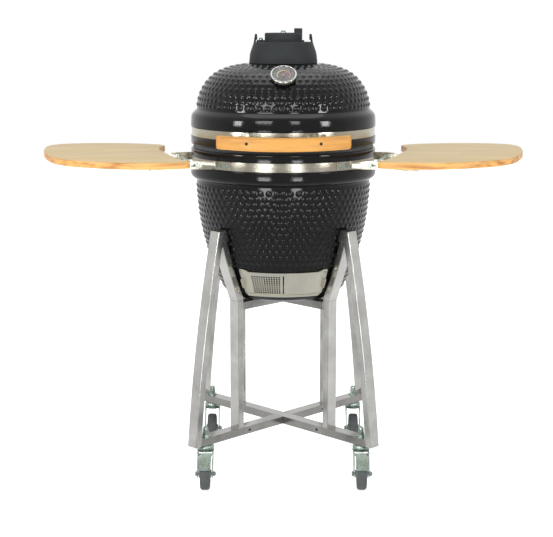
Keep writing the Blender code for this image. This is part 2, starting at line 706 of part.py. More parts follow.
# The board's edge from its rear tip round to its front tip, then its inner edge back, as
# (distance out along the shelf, distance toward the front).
BOARD_EDGE = [
    (0.303, -0.168), (0.345, -0.213), (0.410, -0.252), (0.490, -0.277), (0.569, -0.281),
    (0.614, -0.262), (0.641, -0.215), (0.655, -0.130), (0.662, -0.040), (0.659, 0.060),
    (0.646, 0.135), (0.614, 0.194), (0.570, 0.240), (0.503, 0.290), (0.432, 0.318),
    (0.357, 0.322), (0.322, 0.309), (0.319, 0.280), (0.341, 0.235), (0.3435, 0.083),
    (0.344, -0.040), (0.338, -0.085), (0.322, -0.125)]


def cut_corners(ring, rounds):
    """A closed outline with its corners cut away again and again."""
    for _ in range(rounds):
        ring = [(a[0] * u + b[0] * (1 - u), a[1] * u + b[1] * (1 - u))
                for a, b in zip(ring, ring[1:] + ring[:1]) for u in (0.75, 0.25)]
    return ring


def shelf_board(name, side, origin):
    """A wooden board with bowed edges and a hollowed inner end."""
    ring = [(x, -side * y) for x, y in cut_corners(BOARD_EDGE, 2)]
    board = outline_solid(name, ring, SHELF_T,
                          shelf_frame_matrix(side)
                          @ Matrix.Translation((0, 0, SHELF_TOP_Z - SHELF_T / 2)))
    soften = board.modifiers.new("round", "BEVEL")
    soften.width = 0.0025
    soften.segments = 1
    soften.limit_method = "ANGLE"
    soften.angle_limit = radians(50)
    return finish(settle(board), BAMBOO, origin)


def shelf_frame(name, side, origin):
    """Two hinge straps and a cross plate screwed under the board."""
    x, z = SHELF_PIVOT
    turn = shelf_frame_matrix(side)
    top = SHELF_TOP_Z - SHELF_T - GAP
    ends = sorted((-side * -0.225, -side * 0.306))
    plate = box(name, (0.365, ends[0], top - 0.0055), (0.423, ends[1], top), turn)
    upright = Matrix.Rotation(pi / 2, 4, "X")
    straps = []
    for y in (-0.1205, 0.1205):
        outline = (arc((x, z), 0.0065, radians(105), radians(290), 8)
                   + [(x + 0.030, top - 0.006), (0.430, top - 0.005), (0.430, top)])
        straps.append(outline_solid("strap", outline, 0.003,
                                    turn @ Matrix.Translation((0, y, 0)) @ upright,
                                    [circle((x, z), 0.0031, 8)], cutters))
    return finish(add(plate, *straps), STEEL, origin)


def shelf_rod(name, side, origin):
    half = ARM_Y + 0.0028 + GAP
    rod = turned(name, [(0.0, half + 0.004), (0.0055, half + 0.004), (0.0055, half),
                        (0.0027, half), (0.0027, -half), (0.0055, -half),
                        (0.0055, -half - 0.004), (0.0, -half - 0.004)], 10,
                 shelf_frame_matrix(side) @ along((SHELF_PIVOT[0], 0, SHELF_PIVOT[1]), (0, 1, 0)))
    return finish(rod, ZINC, origin)


# ---------------------------------------------------------------- assembly
base_bowl()
band("base_band", BASE_BAND_Z)
base_gasket()
firebox()
fire_ring()
charcoal_grate()
cooking_grid()
draft_frame()
for slide in (draft_mesh_slide(), draft_solid_slide()):
    pivot(slide.name + "_track", slide.location, [slide])

lid_pieces = [lid_dome(), finish(band("lid_band", LID_BAND_Z), STEEL, LID_HINGE), lid_handle(),
              handle_bracket("handle_bracket_left", -1),
              handle_bracket("handle_bracket_right", 1), vent_base(),
              screw("vent_pivot_screw", VENT_PIVOT + Vector((0, 0, 0.0049)), 0.006, 0.004,
                    0.003, 0.014, ZINC),
              thermometer_case(),
              hinge_bracket("hinge_upper_bracket", 0.022, (0.9560, 0.9740), radians(-35))]
lid_pivot = pivot("lid_hinge", LID_HINGE, lid_pieces)
slide_plate = vent_slide_plate()
centre_screw = screw("vent_centre_screw", (0, 0, 1.2328), 0.0085, 0.005, 0.004, 0.0235, ZINC)
swing = pivot("vent_swing", VENT_PIVOT, [slide_plate, centre_screw])
wheel_turn = pivot("vent_turn", (0, 0, 1.2325), [vent_wheel()])
needle_piece = thermometer_needle()
needle_turn = pivot("needle_turn", needle_piece.location, [needle_piece])
parent_to(wheel_turn, swing)
parent_to(swing, lid_pivot)
parent_to(needle_turn, lid_pivot)

hinge_bracket("hinge_lower_bracket", 0.0265, (0.8735, 0.8935), radians(35))
hinge_pin()

for corner, quarter in (("rear_right", 0), ("rear_left", 1), ("front_left", 2),
                        ("front_right", 3)):
    leg("leg_" + corner, quarter)
    caster(corner, quarter, corner.startswith("front"))
bottom_rail("bottom_rail_a", 0, True)
bottom_rail("bottom_rail_b", 1, False)
top_cross()

for word, side in (("left", -1), ("right", 1)):
    for end, y_sign in (("front", 1), ("rear", -1)):
        shelf_bracket("shelf_bracket_" + word + "_" + end, side, y_sign * -side)
    axis = shelf_frame_matrix(side) @ Vector((SHELF_PIVOT[0], 0, SHELF_PIVOT[1]))
    fold = pivot("shelf_fold_" + word, axis,
                 [shelf_board("shelf_board_" + word, side, axis),
                  shelf_frame("shelf_frame_" + word, side, axis)])
    slide = pivot("shelf_slide_" + word, axis, [shelf_rod("shelf_rod_" + word, side, axis)])
    parent_to(fold, slide)
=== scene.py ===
"""The looks of a kamado grill: glazed egg, steel bands, bamboo and a polished stand on casters."""
from math import asin, atan2, cos, hypot, pi, radians, sin, sqrt

import bmesh
import bpy
from mathutils import Matrix, Vector


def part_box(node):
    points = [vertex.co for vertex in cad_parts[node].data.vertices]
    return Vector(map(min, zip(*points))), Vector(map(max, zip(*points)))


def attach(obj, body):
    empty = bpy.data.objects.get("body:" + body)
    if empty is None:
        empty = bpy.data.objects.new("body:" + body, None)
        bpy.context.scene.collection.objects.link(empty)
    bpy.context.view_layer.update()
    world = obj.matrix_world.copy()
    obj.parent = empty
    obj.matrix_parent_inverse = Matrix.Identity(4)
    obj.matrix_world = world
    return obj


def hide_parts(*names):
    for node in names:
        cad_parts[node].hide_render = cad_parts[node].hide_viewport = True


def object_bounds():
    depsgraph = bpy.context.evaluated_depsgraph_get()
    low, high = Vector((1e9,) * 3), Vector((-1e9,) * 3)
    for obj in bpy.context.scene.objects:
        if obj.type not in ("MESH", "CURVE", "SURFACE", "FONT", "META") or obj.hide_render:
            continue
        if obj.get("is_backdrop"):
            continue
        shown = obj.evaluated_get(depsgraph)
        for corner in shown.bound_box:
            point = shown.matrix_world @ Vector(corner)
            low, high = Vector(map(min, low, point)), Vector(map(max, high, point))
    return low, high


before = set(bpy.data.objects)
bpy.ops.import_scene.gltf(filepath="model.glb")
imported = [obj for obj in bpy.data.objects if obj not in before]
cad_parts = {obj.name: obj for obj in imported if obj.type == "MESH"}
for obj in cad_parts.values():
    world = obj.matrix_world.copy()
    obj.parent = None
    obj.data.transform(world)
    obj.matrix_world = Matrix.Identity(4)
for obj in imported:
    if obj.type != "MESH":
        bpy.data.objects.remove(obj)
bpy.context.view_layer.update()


# ---------------------------------------------------------------- studio
# A white sweep lit by soft lamps: two tall ones near the camera, one narrow at each side, two low
# and one overhead. The room is dimmer in front than behind, so the black glaze keeps its depth.
def linear(code):
    """An sRGB hex colour as linear red, green, blue and alpha."""
    channels = [int(code[i:i + 2], 16) / 255 for i in (1, 3, 5)]
    return (*(c / 12.92 if c <= 0.04045 else ((c + 0.055) / 1.055) ** 2.4 for c in channels), 1.0)


def add_node(tree, kind, values=None, links=None, **settings):
    """Add one node, set it up, and link what feeds it."""
    node = tree.nodes.new("ShaderNode" + kind)
    for name, value in settings.items():
        setattr(node, name, value)
    for socket, value in (values or {}).items():
        node.inputs[socket].default_value = value
    for socket, source in (links or {}).items():
        tree.links.new(source, node.inputs[socket])
    return node


def new_surface(name, **sockets):
    """A material with only its shader in it, and the shader's own numbers."""
    surface = bpy.data.materials.new(name)
    surface.use_nodes = True
    tree = surface.node_tree
    tree.nodes.clear()
    shader = add_node(tree, "BsdfPrincipled", {key.replace("_", " "): value
                                               for key, value in sockets.items()})
    add_node(tree, "OutputMaterial", links={"Surface": shader.outputs["BSDF"]})
    return surface, tree, shader


def mottled(name, tones, scale, detail=2.0, bump=None, **sockets):
    """A finish whose tint wanders between two tones, and whose skin may rise with it."""
    surface, tree, shader = new_surface(name, **sockets)
    place = add_node(tree, "TexCoord")
    mottle = add_node(tree, "TexNoise", {"Scale": scale, "Detail": detail},
                      {"Vector": place.outputs["Object"]})
    tint = add_node(tree, "Mix", {6: linear(tones[0]), 7: linear(tones[1])},
                    {0: mottle.outputs["Fac"]}, data_type="RGBA")
    tree.links.new(tint.outputs[2], shader.inputs["Base Color"])
    if bump:
        relief = add_node(tree, "Bump", {"Strength": bump[0], "Distance": bump[1]},
                          {"Height": mottle.outputs["Fac"]})
        tree.links.new(relief.outputs[0], shader.inputs["Normal"])
    return surface


camera_data = bpy.data.cameras.new("camera")
camera_data.sensor_width = 36.0
camera_data.lens = 90.03
camera = bpy.data.objects.new("camera", camera_data)
camera.location = (-0.0188, -3.8826, 1.279)
camera.rotation_euler = (radians(90 - 10.36), 0.0, 0.0)
bpy.context.scene.collection.objects.link(camera)
bpy.context.scene.camera = camera
bpy.context.scene.view_settings.view_transform = "Standard"

world = bpy.data.worlds.new("studio")
bpy.context.scene.world = world
world.use_nodes = True
sky = world.node_tree
sky.nodes.clear()
direction = add_node(sky, "TexCoord")
axes = add_node(sky, "SeparateXYZ", links={0: direction.outputs["Generated"]})
lean = add_node(sky, "Math", {1: 0.55}, {0: axes.outputs["Z"]}, operation="MULTIPLY")
lift = add_node(sky, "Math", links={0: lean.outputs[0]}, operation="ABSOLUTE")
depth = add_node(sky, "Math", links={0: axes.outputs["Y"], 1: lift.outputs[0]}, operation="ADD")
shade = add_node(sky, "MapRange", {"From Min": -0.7, "From Max": 1.0, "To Min": 0.42,
                                   "To Max": 0.9},
                 {"Value": depth.outputs[0]}, interpolation_type="SMOOTHSTEP")
room = add_node(sky, "Background", {"Color": (1, 1, 1, 1)}, {"Strength": shade.outputs["Result"]})
sweep = add_node(sky, "Background", {"Color": (1, 1, 1, 1), "Strength": 1.0})
sight = add_node(sky, "LightPath")
both = add_node(sky, "MixShader", links={0: sight.outputs["Is Camera Ray"], 1: room.outputs[0],
                                         2: sweep.outputs[0]})
add_node(sky, "OutputWorld", links={"Surface": both.outputs[0]})


def softbox(name, place, target, width, height, power):
    """A soft rectangular light that the camera doesn't see."""
    light = bpy.data.lights.new(name, "AREA")
    light.shape = "RECTANGLE"
    light.size = width
    light.size_y = height
    light.energy = power
    lamp = bpy.data.objects.new(name, light)
    lamp.location = place
    lamp.rotation_euler = (Vector(place) - Vector(target)).to_track_quat("Z", "Y").to_euler()
    lamp.visible_camera = False
    bpy.context.scene.collection.objects.link(lamp)


softbox("left_softbox", (-1.17, -2.76, 1.85), (0, 0, 1.0), 1.0, 1.2, 24)
softbox("right_softbox", (0.72, -2.90, 1.85), (0, 0, 1.0), 0.52, 1.2, 13)
softbox("left_sparkle", (-2.9, -2.0, 1.5), (0, 0, 0.8), 0.6, 0.9, 26)
softbox("right_sparkle", (2.7, -2.2, 1.5), (0, 0, 0.8), 0.6, 0.9, 26)
softbox("left_low_softbox", (-1.15, -2.8, 0.33), (0, 0, 0.7), 0.75, 0.45, 9)
softbox("right_low_softbox", (0.84, -2.9, 0.33), (0, 0, 0.7), 0.6, 0.45, 7)
softbox("top_softbox", (0.0, 0.3, 3.2), (0, 0, 0.9), 2.2, 2.2, 20)

# Matte white paper, which glows a little so that the sweep stays even.
ground = mottled("white_matte_sweep", ("#f6f6f6", "#fbfbfb"), 3.0, Roughness=0.9,
                 Emission_Color=(1.0, 1.0, 1.0, 1.0), Emission_Strength=0.62)
flat = bmesh.new()
bmesh.ops.create_circle(flat, cap_ends=True, segments=96, radius=9.0)
floor_mesh = bpy.data.meshes.new("floor")
flat.to_mesh(floor_mesh)
flat.free()
floor_mesh.materials.append(ground)
floor = bpy.data.objects.new("floor", floor_mesh)
bpy.context.scene.collection.objects.link(floor)
floor.visible_glossy = False
floor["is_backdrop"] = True


# ---------------------------------------------------------------- stand
# Four legs, each a bowed outer leg, a slanted arm and an inner post in one frame side, cut from
# 35 x 20 mm stainless tube, TIG welded and polished. Two bottom rails cross in a half lap.
def stainless(name, colour, roughness, grain, turn=0.0, depth=0.12):
    """Polished stainless: long hairlines along the tube, and a faint haze of handling."""
    surface, tree, shader = new_surface(name, Metallic=1.0)
    place = add_node(tree, "TexCoord")
    lay = add_node(tree, "Mapping", {"Rotation": (0.0, 0.0, turn), "Scale": grain},
                   {"Vector": place.outputs["Object"]})
    hairline = add_node(tree, "TexNoise", {"Scale": 1.0, "Detail": 3.0, "Roughness": 0.6},
                        {"Vector": lay.outputs[0]})
    haze = add_node(tree, "TexNoise", {"Scale": 16.0, "Detail": 4.0},
                    {"Vector": place.outputs["Object"]})
    tint = add_node(tree, "Mix", {6: linear(colour[0]), 7: linear(colour[1])},
                    {0: haze.outputs["Fac"]}, data_type="RGBA")
    worn = add_node(tree, "MapRange", {"From Min": 0.3, "From Max": 0.7,
                                       "To Min": roughness * 0.75, "To Max": roughness * 1.3},
                    {"Value": haze.outputs["Fac"]})
    streak = add_node(tree, "Math", {1: 0.08}, {0: hairline.outputs["Fac"]}, operation="MULTIPLY")
    rough = add_node(tree, "Math", links={0: worn.outputs[0], 1: streak.outputs[0]})
    relief = add_node(tree, "Bump", {"Strength": depth, "Distance": 0.0002},
                      {"Height": hairline.outputs["Fac"]})
    tree.links.new(tint.outputs[2], shader.inputs["Base Color"])
    tree.links.new(rough.outputs[0], shader.inputs["Roughness"])
    tree.links.new(relief.outputs[0], shader.inputs["Normal"])
    return surface


def piece(name, shape, surfaces, body, slot, *replaced):
    """Turn a bmesh into a named piece that rides on a body."""
    mesh = bpy.data.meshes.new(name)
    shape.to_mesh(mesh)
    shape.free()
    for surface in surfaces:
        mesh.materials.append(surface)
    thing = bpy.data.objects.new(name, mesh)
    bpy.context.scene.collection.objects.link(thing)
    for face in mesh.polygons:
        face.use_smooth = True
    mesh.set_sharp_from_angle(angle=radians(38))
    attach(thing, body)
    if replaced:
        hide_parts(*replaced)
    return thing


def eased(thing, width, segments=2):
    """Ease a piece's edges by a small bevel with even shading."""
    bevel = thing.modifiers.new("eased_edges", "BEVEL")
    bevel.width = width
    bevel.segments = segments
    bevel.limit_method = "ANGLE"
    bevel.angle_limit = radians(34)
    bevel.harden_normals = True
    return thing


def refined(node, surface, width, body, slot, segments=2):
    """A finished copy of a CAD node: merged, its flats joined, its edges eased."""
    shape = bmesh.new()
    shape.from_mesh(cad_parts[node].data)
    shape.transform(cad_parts[node].matrix_world)
    bmesh.ops.remove_doubles(shape, verts=shape.verts, dist=0.00002)
    bmesh.ops.dissolve_limit(shape, angle_limit=radians(0.4), verts=shape.verts, edges=shape.edges)
    for face in shape.faces:
        face.material_index = 0
    thing = piece(node + "_finished", shape, [surface], body, slot, node)
    return eased(thing, width, segments)


TUBE_WIDE = 0.035
TUBE_THICK = 0.020
RAIL_Z = (0.117, 0.139)
CROSS_Z = (0.477, 0.500)
POST_RHO = 0.173
corners = {"rear_right": 0, "rear_left": 1, "front_left": 2, "front_right": 3}

# Polished tube: bright, with a cloudy haze of handling and streaks along its length.
leg_steel = stainless("polished_stainless_tube", ("#bdbcb8", "#fbfaf7"), 0.17, (260, 260, 8))
# The rails and the top cross take a darker copy of the same polished tube: painted shade, for the
# parts low down and under the bowl.
shaded_rail_steel = {0: stainless("polished_rail_tube_painted_shade_a", ("#93928f", "#c6c5c2"), 0.17,
                           (14, 900, 900), radians(-45)),
              1: stainless("polished_rail_tube_painted_shade_b", ("#93928f", "#c6c5c2"), 0.17,
                           (14, 900, 900), radians(45))}

for corner in corners:
    refined("leg_" + corner, leg_steel, 0.0018, "stand", "polished_stainless", 3)
refined("bottom_rail_a", shaded_rail_steel[0], 0.0015, "stand", "polished_stainless")
refined("bottom_rail_b", shaded_rail_steel[1], 0.0015, "stand", "polished_stainless")
refined("top_cross", shaded_rail_steel[0], 0.0015, "stand", "polished_stainless")

# Weld beads, as the torch leaves them after polishing: a low rippled fillet round each joint,
# duller and browner than the tube.
weld = mottled("polished_weld_bead", ("#8d8a84", "#cbc9c3"), 420.0, bump=(0.5, 0.0006),
               Metallic=1.0, Roughness=0.34)


def swept(shape, path, radius, sides=8):
    """A round bead along a closed path."""
    loops = []
    for i, point in enumerate(path):
        ahead = path[(i + 1) % len(path)] - path[i - 1]
        turn = ahead.to_track_quat("Z", "Y").to_matrix().to_4x4()
        ring = bmesh.ops.create_circle(shape, segments=sides, radius=radius,
                                       matrix=Matrix.Translation(point) @ turn)["verts"]
        loops.append({edge for vert in ring for edge in vert.link_edges})
    for i, loop in enumerate(loops):
        bmesh.ops.bridge_loops(shape, edges=list(loop | loops[(i + 1) % len(loops)]))


def tube_ring(low, high, axis, level, ease=0.0025):
    """A rectangle with eased corners, square to one axis at a level, in a corner's own frame."""
    (a0, b0), (a1, b1) = low, high
    flat = [(a0 + ease, b0), (a1 - ease, b0), (a1, b0 + ease), (a1, b1 - ease), (a1 - ease, b1),
            (a0 + ease, b1), (a0, b1 - ease), (a0, b0 + ease)]
    if axis == "Z":
        return [Vector((a, b, level)) for a, b in flat]
    return [Vector((level, a, b)) for a, b in flat]


def diagonal(quarter):
    """Local X runs out along one of the stand's four diagonals."""
    return Matrix.Rotation(radians(45 + 90 * quarter), 4, "Z")


def leg_outer(z):
    """Radius of a leg's outer face at a height."""
    t = (z - RAIL_Z[0]) / (0.705 - RAIL_Z[0])
    return 0.354 + (0.262 - 0.354) * t + 0.040 * t * (1 - t)


half = TUBE_WIDE / 2
for corner, quarter in corners.items():
    beads = bmesh.new()
    rail_end = leg_outer(RAIL_Z[1]) - TUBE_THICK * 1.02
    joints = [
        (tube_ring((POST_RHO, -half), (POST_RHO + TUBE_THICK, half), "Z", RAIL_Z[1]), 0.0016),
        (tube_ring((POST_RHO, -half), (POST_RHO + TUBE_THICK, half), "Z", 0.5035), 0.0008),
        (tube_ring((-half, RAIL_Z[0]), (half, RAIL_Z[1]), "X", rail_end), 0.0014),
        (tube_ring((-half, CROSS_Z[0]), (half, CROSS_Z[1]), "X", POST_RHO), 0.0015)]
    for path, radius in joints:
        swept(beads, [diagonal(quarter) @ point for point in path], radius)
    piece("weld_beads_" + corner, beads, [weld], "stand", "polished_stainless")

# Rubber pads on the arms keep the ceramic off the steel. They are black, moulded and matte.
pad_rubber = mottled("moulded_black_rubber", ("#131414", "#262828"), 700.0, 3.0, (0.3, 0.0003),
                     Roughness=0.8, IOR=1.52)

for corner, quarter in corners.items():
    pads = bmesh.new()
    for rho, z in ((0.2085, 0.622), (0.2335, 0.690)):
        slope = Matrix.Rotation(radians(18), 4, "Y")
        bmesh.ops.create_cube(pads, size=1.0, matrix=diagonal(quarter)
                              @ Matrix.Translation((rho - 0.0022, 0, z)) @ slope
                              @ Matrix.Diagonal((0.0075, 0.030, 0.034, 1.0)))
    eased(piece("bowl_pads_" + corner, pads, [pad_rubber], "stand", "grey_rubber"), 0.0015)
    plugs = bmesh.new()
    for side in (-1, 1):
        at = Matrix.Translation((POST_RHO - 0.022, side * half, 0.128))
        bmesh.ops.create_uvsphere(plugs, u_segments=20, v_segments=10, radius=1.0,
                                  matrix=diagonal(quarter) @ at
                                  @ Matrix.Diagonal((0.0052, 0.0012, 0.0034, 1.0)))
    piece("drain_plugs_" + corner, plugs, [pad_rubber], "stand", "grey_rubber")


# ---------------------------------------------------------------- casters
# Pressed zinc-plated forks on ball races, dark grey rubber wheels on a through bolt, and an
# acorn nut on each stem. The two front ones carry a pressed brake pedal.
def turn_on(point, towards):
    """Local Z runs towards a direction, at a point."""
    turn = Vector(towards).to_track_quat("Z", "Y").to_matrix().to_4x4()
    return Matrix.Translation(point) @ turn


def rounded(points, steps=4):
    """An outline of (x, y, corner radius) with those corners turned to short curves."""
    result = []
    for i, (x, y, radius) in enumerate(points):
        here = Vector((x, y))
        if radius == 0.0 or i in (0, len(points) - 1):
            result.append((x, y))
            continue
        before = Vector(points[i - 1][:2]) - here
        after = Vector(points[i + 1][:2]) - here
        start = here + before.normalized() * min(radius, before.length * 0.45)
        end = here + after.normalized() * min(radius, after.length * 0.45)
        for step in range(steps + 1):
            t = step / steps
            bend = start.lerp(here, t).lerp(here.lerp(end, t), t)
            result.append((bend.x, bend.y))
    return result


def spun(shape, outline, steps, matrix=Matrix(), closed=False):
    """Spin an outline of (radius, height) about local Z, close it, and place it."""
    old = set(shape.verts)
    line = [shape.verts.new((r, 0.0, z)) for r, z in outline]
    edges = [shape.edges.new(pair) for pair in zip(line, line[1:])]
    if closed:
        edges.append(shape.edges.new((line[-1], line[0])))
    bmesh.ops.spin(shape, geom=line + edges, axis=(0, 0, 1), cent=(0, 0, 0), angle=2 * pi,
                   steps=steps, use_merge=True)
    new = [vert for vert in shape.verts if vert not in old]
    bmesh.ops.remove_doubles(shape, verts=new, dist=0.000005)
    new = [vert for vert in shape.verts if vert not in old]
    faces = list({face for vert in new for face in vert.link_faces})
    bmesh.ops.recalc_face_normals(shape, faces=faces)
    bmesh.ops.transform(shape, matrix=matrix, verts=new)


def hexagon(shape, place, width, height):
    """A hexagon bolt head or nut standing on a plane, across its flats by width."""
    bmesh.ops.create_cone(shape, cap_ends=True, segments=6, radius1=width / sqrt(3),
                          radius2=width / sqrt(3), depth=height,
                          matrix=place @ Matrix.Translation((0, 0, height / 2)))


# Zinc plate: a cool greenish silver with a faint spangle in its gloss.
zinc, zinc_tree, zinc_shader = new_surface("bright_zinc_plate", Metallic=1.0)
place = add_node(zinc_tree, "TexCoord")
spangle = add_node(zinc_tree, "TexVoronoi", {"Scale": 160.0}, {"Vector": place.outputs["Object"]})
cloud = add_node(zinc_tree, "TexNoise", {"Scale": 45.0, "Detail": 4.0},
                 {"Vector": place.outputs["Object"]})
tint = add_node(zinc_tree, "Mix", {6: linear("#8a9d93"), 7: linear("#c3d2c8")},
                {0: cloud.outputs["Fac"]}, data_type="RGBA")
worn = add_node(zinc_tree, "MapRange", {"To Min": 0.22, "To Max": 0.40},
                {"Value": spangle.outputs["Distance"]})
relief = add_node(zinc_tree, "Bump", {"Strength": 0.12, "Distance": 0.0003},
                  {"Height": cloud.outputs["Fac"]})
zinc_tree.links.new(tint.outputs[2], zinc_shader.inputs["Base Color"])
zinc_tree.links.new(worn.outputs[0], zinc_shader.inputs["Roughness"])
zinc_tree.links.new(relief.outputs[0], zinc_shader.inputs["Normal"])

# Caster rubber: dull dark grey, scuffed lighter in places.
tread, tread_tree, tread_shader = new_surface("grey_caster_rubber", Roughness=0.6, IOR=1.52)
place = add_node(tread_tree, "TexCoord")
scuff = add_node(tread_tree, "TexNoise", {"Scale": 60.0, "Detail": 5.0},
                 {"Vector": place.outputs["Object"]})
grit = add_node(tread_tree, "TexNoise", {"Scale": 900.0}, {"Vector": place.outputs["Object"]})
tint = add_node(tread_tree, "Mix", {6: linear("#303334"), 7: linear("#525656")},
                {0: scuff.outputs["Fac"]}, data_type="RGBA")
relief = add_node(tread_tree, "Bump", {"Strength": 0.25, "Distance": 0.0003},
                  {"Height": grit.outputs["Fac"]})
tread_tree.links.new(tint.outputs[2], tread_shader.inputs["Base Color"])
tread_tree.links.new(relief.outputs[0], tread_shader.inputs["Normal"])

# Moulded nylon: a mid grey with faint flow marks.
hub_resin = mottled("grey_nylon_hub", ("#5c6061", "#7a7e7e"), 80.0, 3.0, (0.1, 0.0003),
                    Roughness=0.45, IOR=1.53)

WHEEL_R = 0.044
WHEEL_HALF = 0.0145
CASTER_RHO = 0.303
for corner, quarter in corners.items():
    stem = diagonal(quarter) @ Vector((CASTER_RHO, 0, 0))
    upright = Matrix.Translation((stem.x, stem.y, 0))
    axle = Vector((stem.x, stem.y - 0.040, WHEEL_R))
    across = turn_on(axle, (1, 0, 0))

    nut = bmesh.new()
    spun(nut, rounded([(0.0, 0.167, 0), (0.0062, 0.1655, 0.004), (0.0078, 0.1585, 0.003),
                       (0.0080, 0.1500, 0), (0.0, 0.1500, 0)]), 24, upright)
    hexagon(nut, upright @ Matrix.Translation((0, 0, 0.1415)), 0.0165, 0.0088)
    spun(nut, rounded([(0.0, 0.1418, 0), (0.0125, 0.1418, 0.0006), (0.0125, 0.1393, 0),
                       (0.0, 0.1393, 0)]), 32, upright)
    spun(nut, [(0.0, 0.1393), (0.0060, 0.1393), (0.0060, 0.1167), (0.0, 0.1167)], 20, upright)
    spun(nut, rounded([(0.0, 0.1167, 0), (0.0200, 0.1167, 0.0015), (0.0235, 0.1110, 0.002),
                       (0.0235, 0.1048, 0.001), (0.0, 0.1045, 0)]), 40, upright)
    piece("caster_stem_set_" + corner, nut, [zinc], "stand", "zinc_plate", "caster_stem_" + corner)

    refined("caster_fork_" + corner, zinc, 0.0007, "caster_" + corner, "zinc_plate")

    tyre = bmesh.new()
    w = WHEEL_HALF
    spun(tyre, rounded([(0.030, w - 0.0025, 0), (0.0390, w - 0.0008, 0.003),
                        (WHEEL_R, w - 0.0050, 0.004), (WHEEL_R, -w + 0.0050, 0.004),
                        (0.0390, -w + 0.0008, 0.003), (0.030, -w + 0.0025, 0),
                        (0.030, -w + 0.0040, 0), (0.030, w - 0.0040, 0)]), 56, across, True)
    piece("caster_tyre_" + corner, tyre, [tread], "wheel_" + corner, "grey_rubber",
          "caster_wheel_" + corner)
    hub = bmesh.new()
    spun(hub, rounded([(0.0046, w + 0.0028, 0), (0.0108, w + 0.0028, 0.001),
                       (0.0118, w - 0.0055, 0.001), (0.0260, w - 0.0070, 0.002),
                       (0.0300, w - 0.0030, 0.001), (0.0302, -w + 0.0030, 0.001),
                       (0.0260, -w + 0.0070, 0.002), (0.0118, -w + 0.0055, 0.001),
                       (0.0108, -w - 0.0028, 0.001), (0.0046, -w - 0.0028, 0)]),
         48, across, True)
    piece("caster_hub_" + corner, hub, [hub_resin], "wheel_" + corner, "grey_rubber")

    bolt = bmesh.new()
    for side in (-1, 1):
        face = across @ Matrix.Rotation(0 if side > 0 else pi, 4, "X")
        face = face @ Matrix.Translation((0, 0, 0.0220))
        hexagon(bolt, face, 0.0125, 0.0052)
        spun(bolt, rounded([(0.0, 0.0083 if side > 0 else 0.0053, 0), (0.0046, 0.0074, 0.0015)
                            if side > 0 else (0.0046, 0.0053, 0.0005), (0.0050, 0.0050, 0),
                            (0.0, 0.0050, 0)]), 20, face)
    spun(bolt, [(0.0, 0.0220), (0.0040, 0.0220), (0.0040, -0.0220), (0.0, -0.0220)], 16, across)
    eased(piece("caster_axle_set_" + corner, bolt, [zinc], "caster_" + corner, "zinc_plate",
                "caster_axle_" + corner), 0.0004)

    if "front" in corner:
        refined("brake_pedal_" + corner, zinc, 0.0006, "pedal_" + corner, "zinc_plate")
        slope = Matrix.Rotation(radians(24), 4, "X")
        ribs = bmesh.new()
        for x in (-0.010, 0.0, 0.010):
            at = Matrix.Translation((stem.x, stem.y - 0.034, 0.096)) @ slope
            bmesh.ops.create_cube(ribs, size=1.0, matrix=at @ Matrix.Translation((x, -0.034, 0.0040))
                                  @ Matrix.Diagonal((0.0022, 0.026, 0.0012, 1.0)))
        eased(piece("pedal_ribs_" + corner, ribs, [zinc], "pedal_" + corner, "zinc_plate"), 0.0005)


# ---------------------------------------------------------------- ceramic bowl
# Slip-cast cordierite, glazed black outside over a pattern of raised drops in staggered rows,
# and bare inside. Its rim and shoulder are smooth. A window at the foot lets the draft in.
def black_glaze():
    """Gloss black glaze: fired skin with a little waviness, its black and its gloss varying from pool
    to pool.
    """
    surface, tree, shader = new_surface("gloss_black_glaze", IOR=1.42)
    place = add_node(tree, "TexCoord")
    pool = add_node(tree, "TexNoise", {"Scale": 55.0, "Detail": 4.0},
                    {"Vector": place.outputs["Object"]})
    orange_peel = add_node(tree, "TexNoise", {"Scale": 260.0, "Detail": 2.0},
                           {"Vector": place.outputs["Object"]})
    tint = add_node(tree, "Mix", {6: linear("#060607"), 7: linear("#101112")},
                    {0: pool.outputs["Fac"]}, data_type="RGBA")
    gloss = add_node(tree, "MapRange", {"To Min": 0.05, "To Max": 0.11},
                     {"Value": pool.outputs["Fac"]})
    relief = add_node(tree, "Bump", {"Strength": 0.18, "Distance": 0.0006},
                      {"Height": orange_peel.outputs["Fac"]})
    tree.links.new(tint.outputs[2], shader.inputs["Base Color"])
    tree.links.new(gloss.outputs[0], shader.inputs["Roughness"])
    tree.links.new(relief.outputs[0], shader.inputs["Normal"])
    return surface


glaze = black_glaze()

# Bare fired clay: a warm, dry buff with dark specks and clouds of soot.
bare_clay, clay_tree, clay_shader = new_surface("bare_cordierite", Roughness=0.9, IOR=1.5)
place = add_node(clay_tree, "TexCoord")
speck = add_node(clay_tree, "TexNoise", {"Scale": 380.0, "Detail": 5.0},
                 {"Vector": place.outputs["Object"]})
soot = add_node(clay_tree, "TexNoise", {"Scale": 9.0, "Detail": 5.0},
                {"Vector": place.outputs["Object"]})
grain = add_node(clay_tree, "Mix", {6: linear("#9c8a74"), 7: linear("#cbbba3")},
                 {0: speck.outputs["Fac"]}, data_type="RGBA")
stain = add_node(clay_tree, "MapRange", {"From Min": 0.45, "From Max": 0.8, "To Max": 0.5},
                 {"Value": soot.outputs["Fac"]})
tint = add_node(clay_tree, "Mix", {7: linear("#5a4c40")},
                {0: stain.outputs[0], 6: grain.outputs[2]}, data_type="RGBA")
relief = add_node(clay_tree, "Bump", {"Strength": 0.4, "Distance": 0.0006},
                  {"Height": speck.outputs["Fac"]})
clay_tree.links.new(tint.outputs[2], clay_shader.inputs["Base Color"])
clay_tree.links.new(relief.outputs[0], clay_shader.inputs["Normal"])


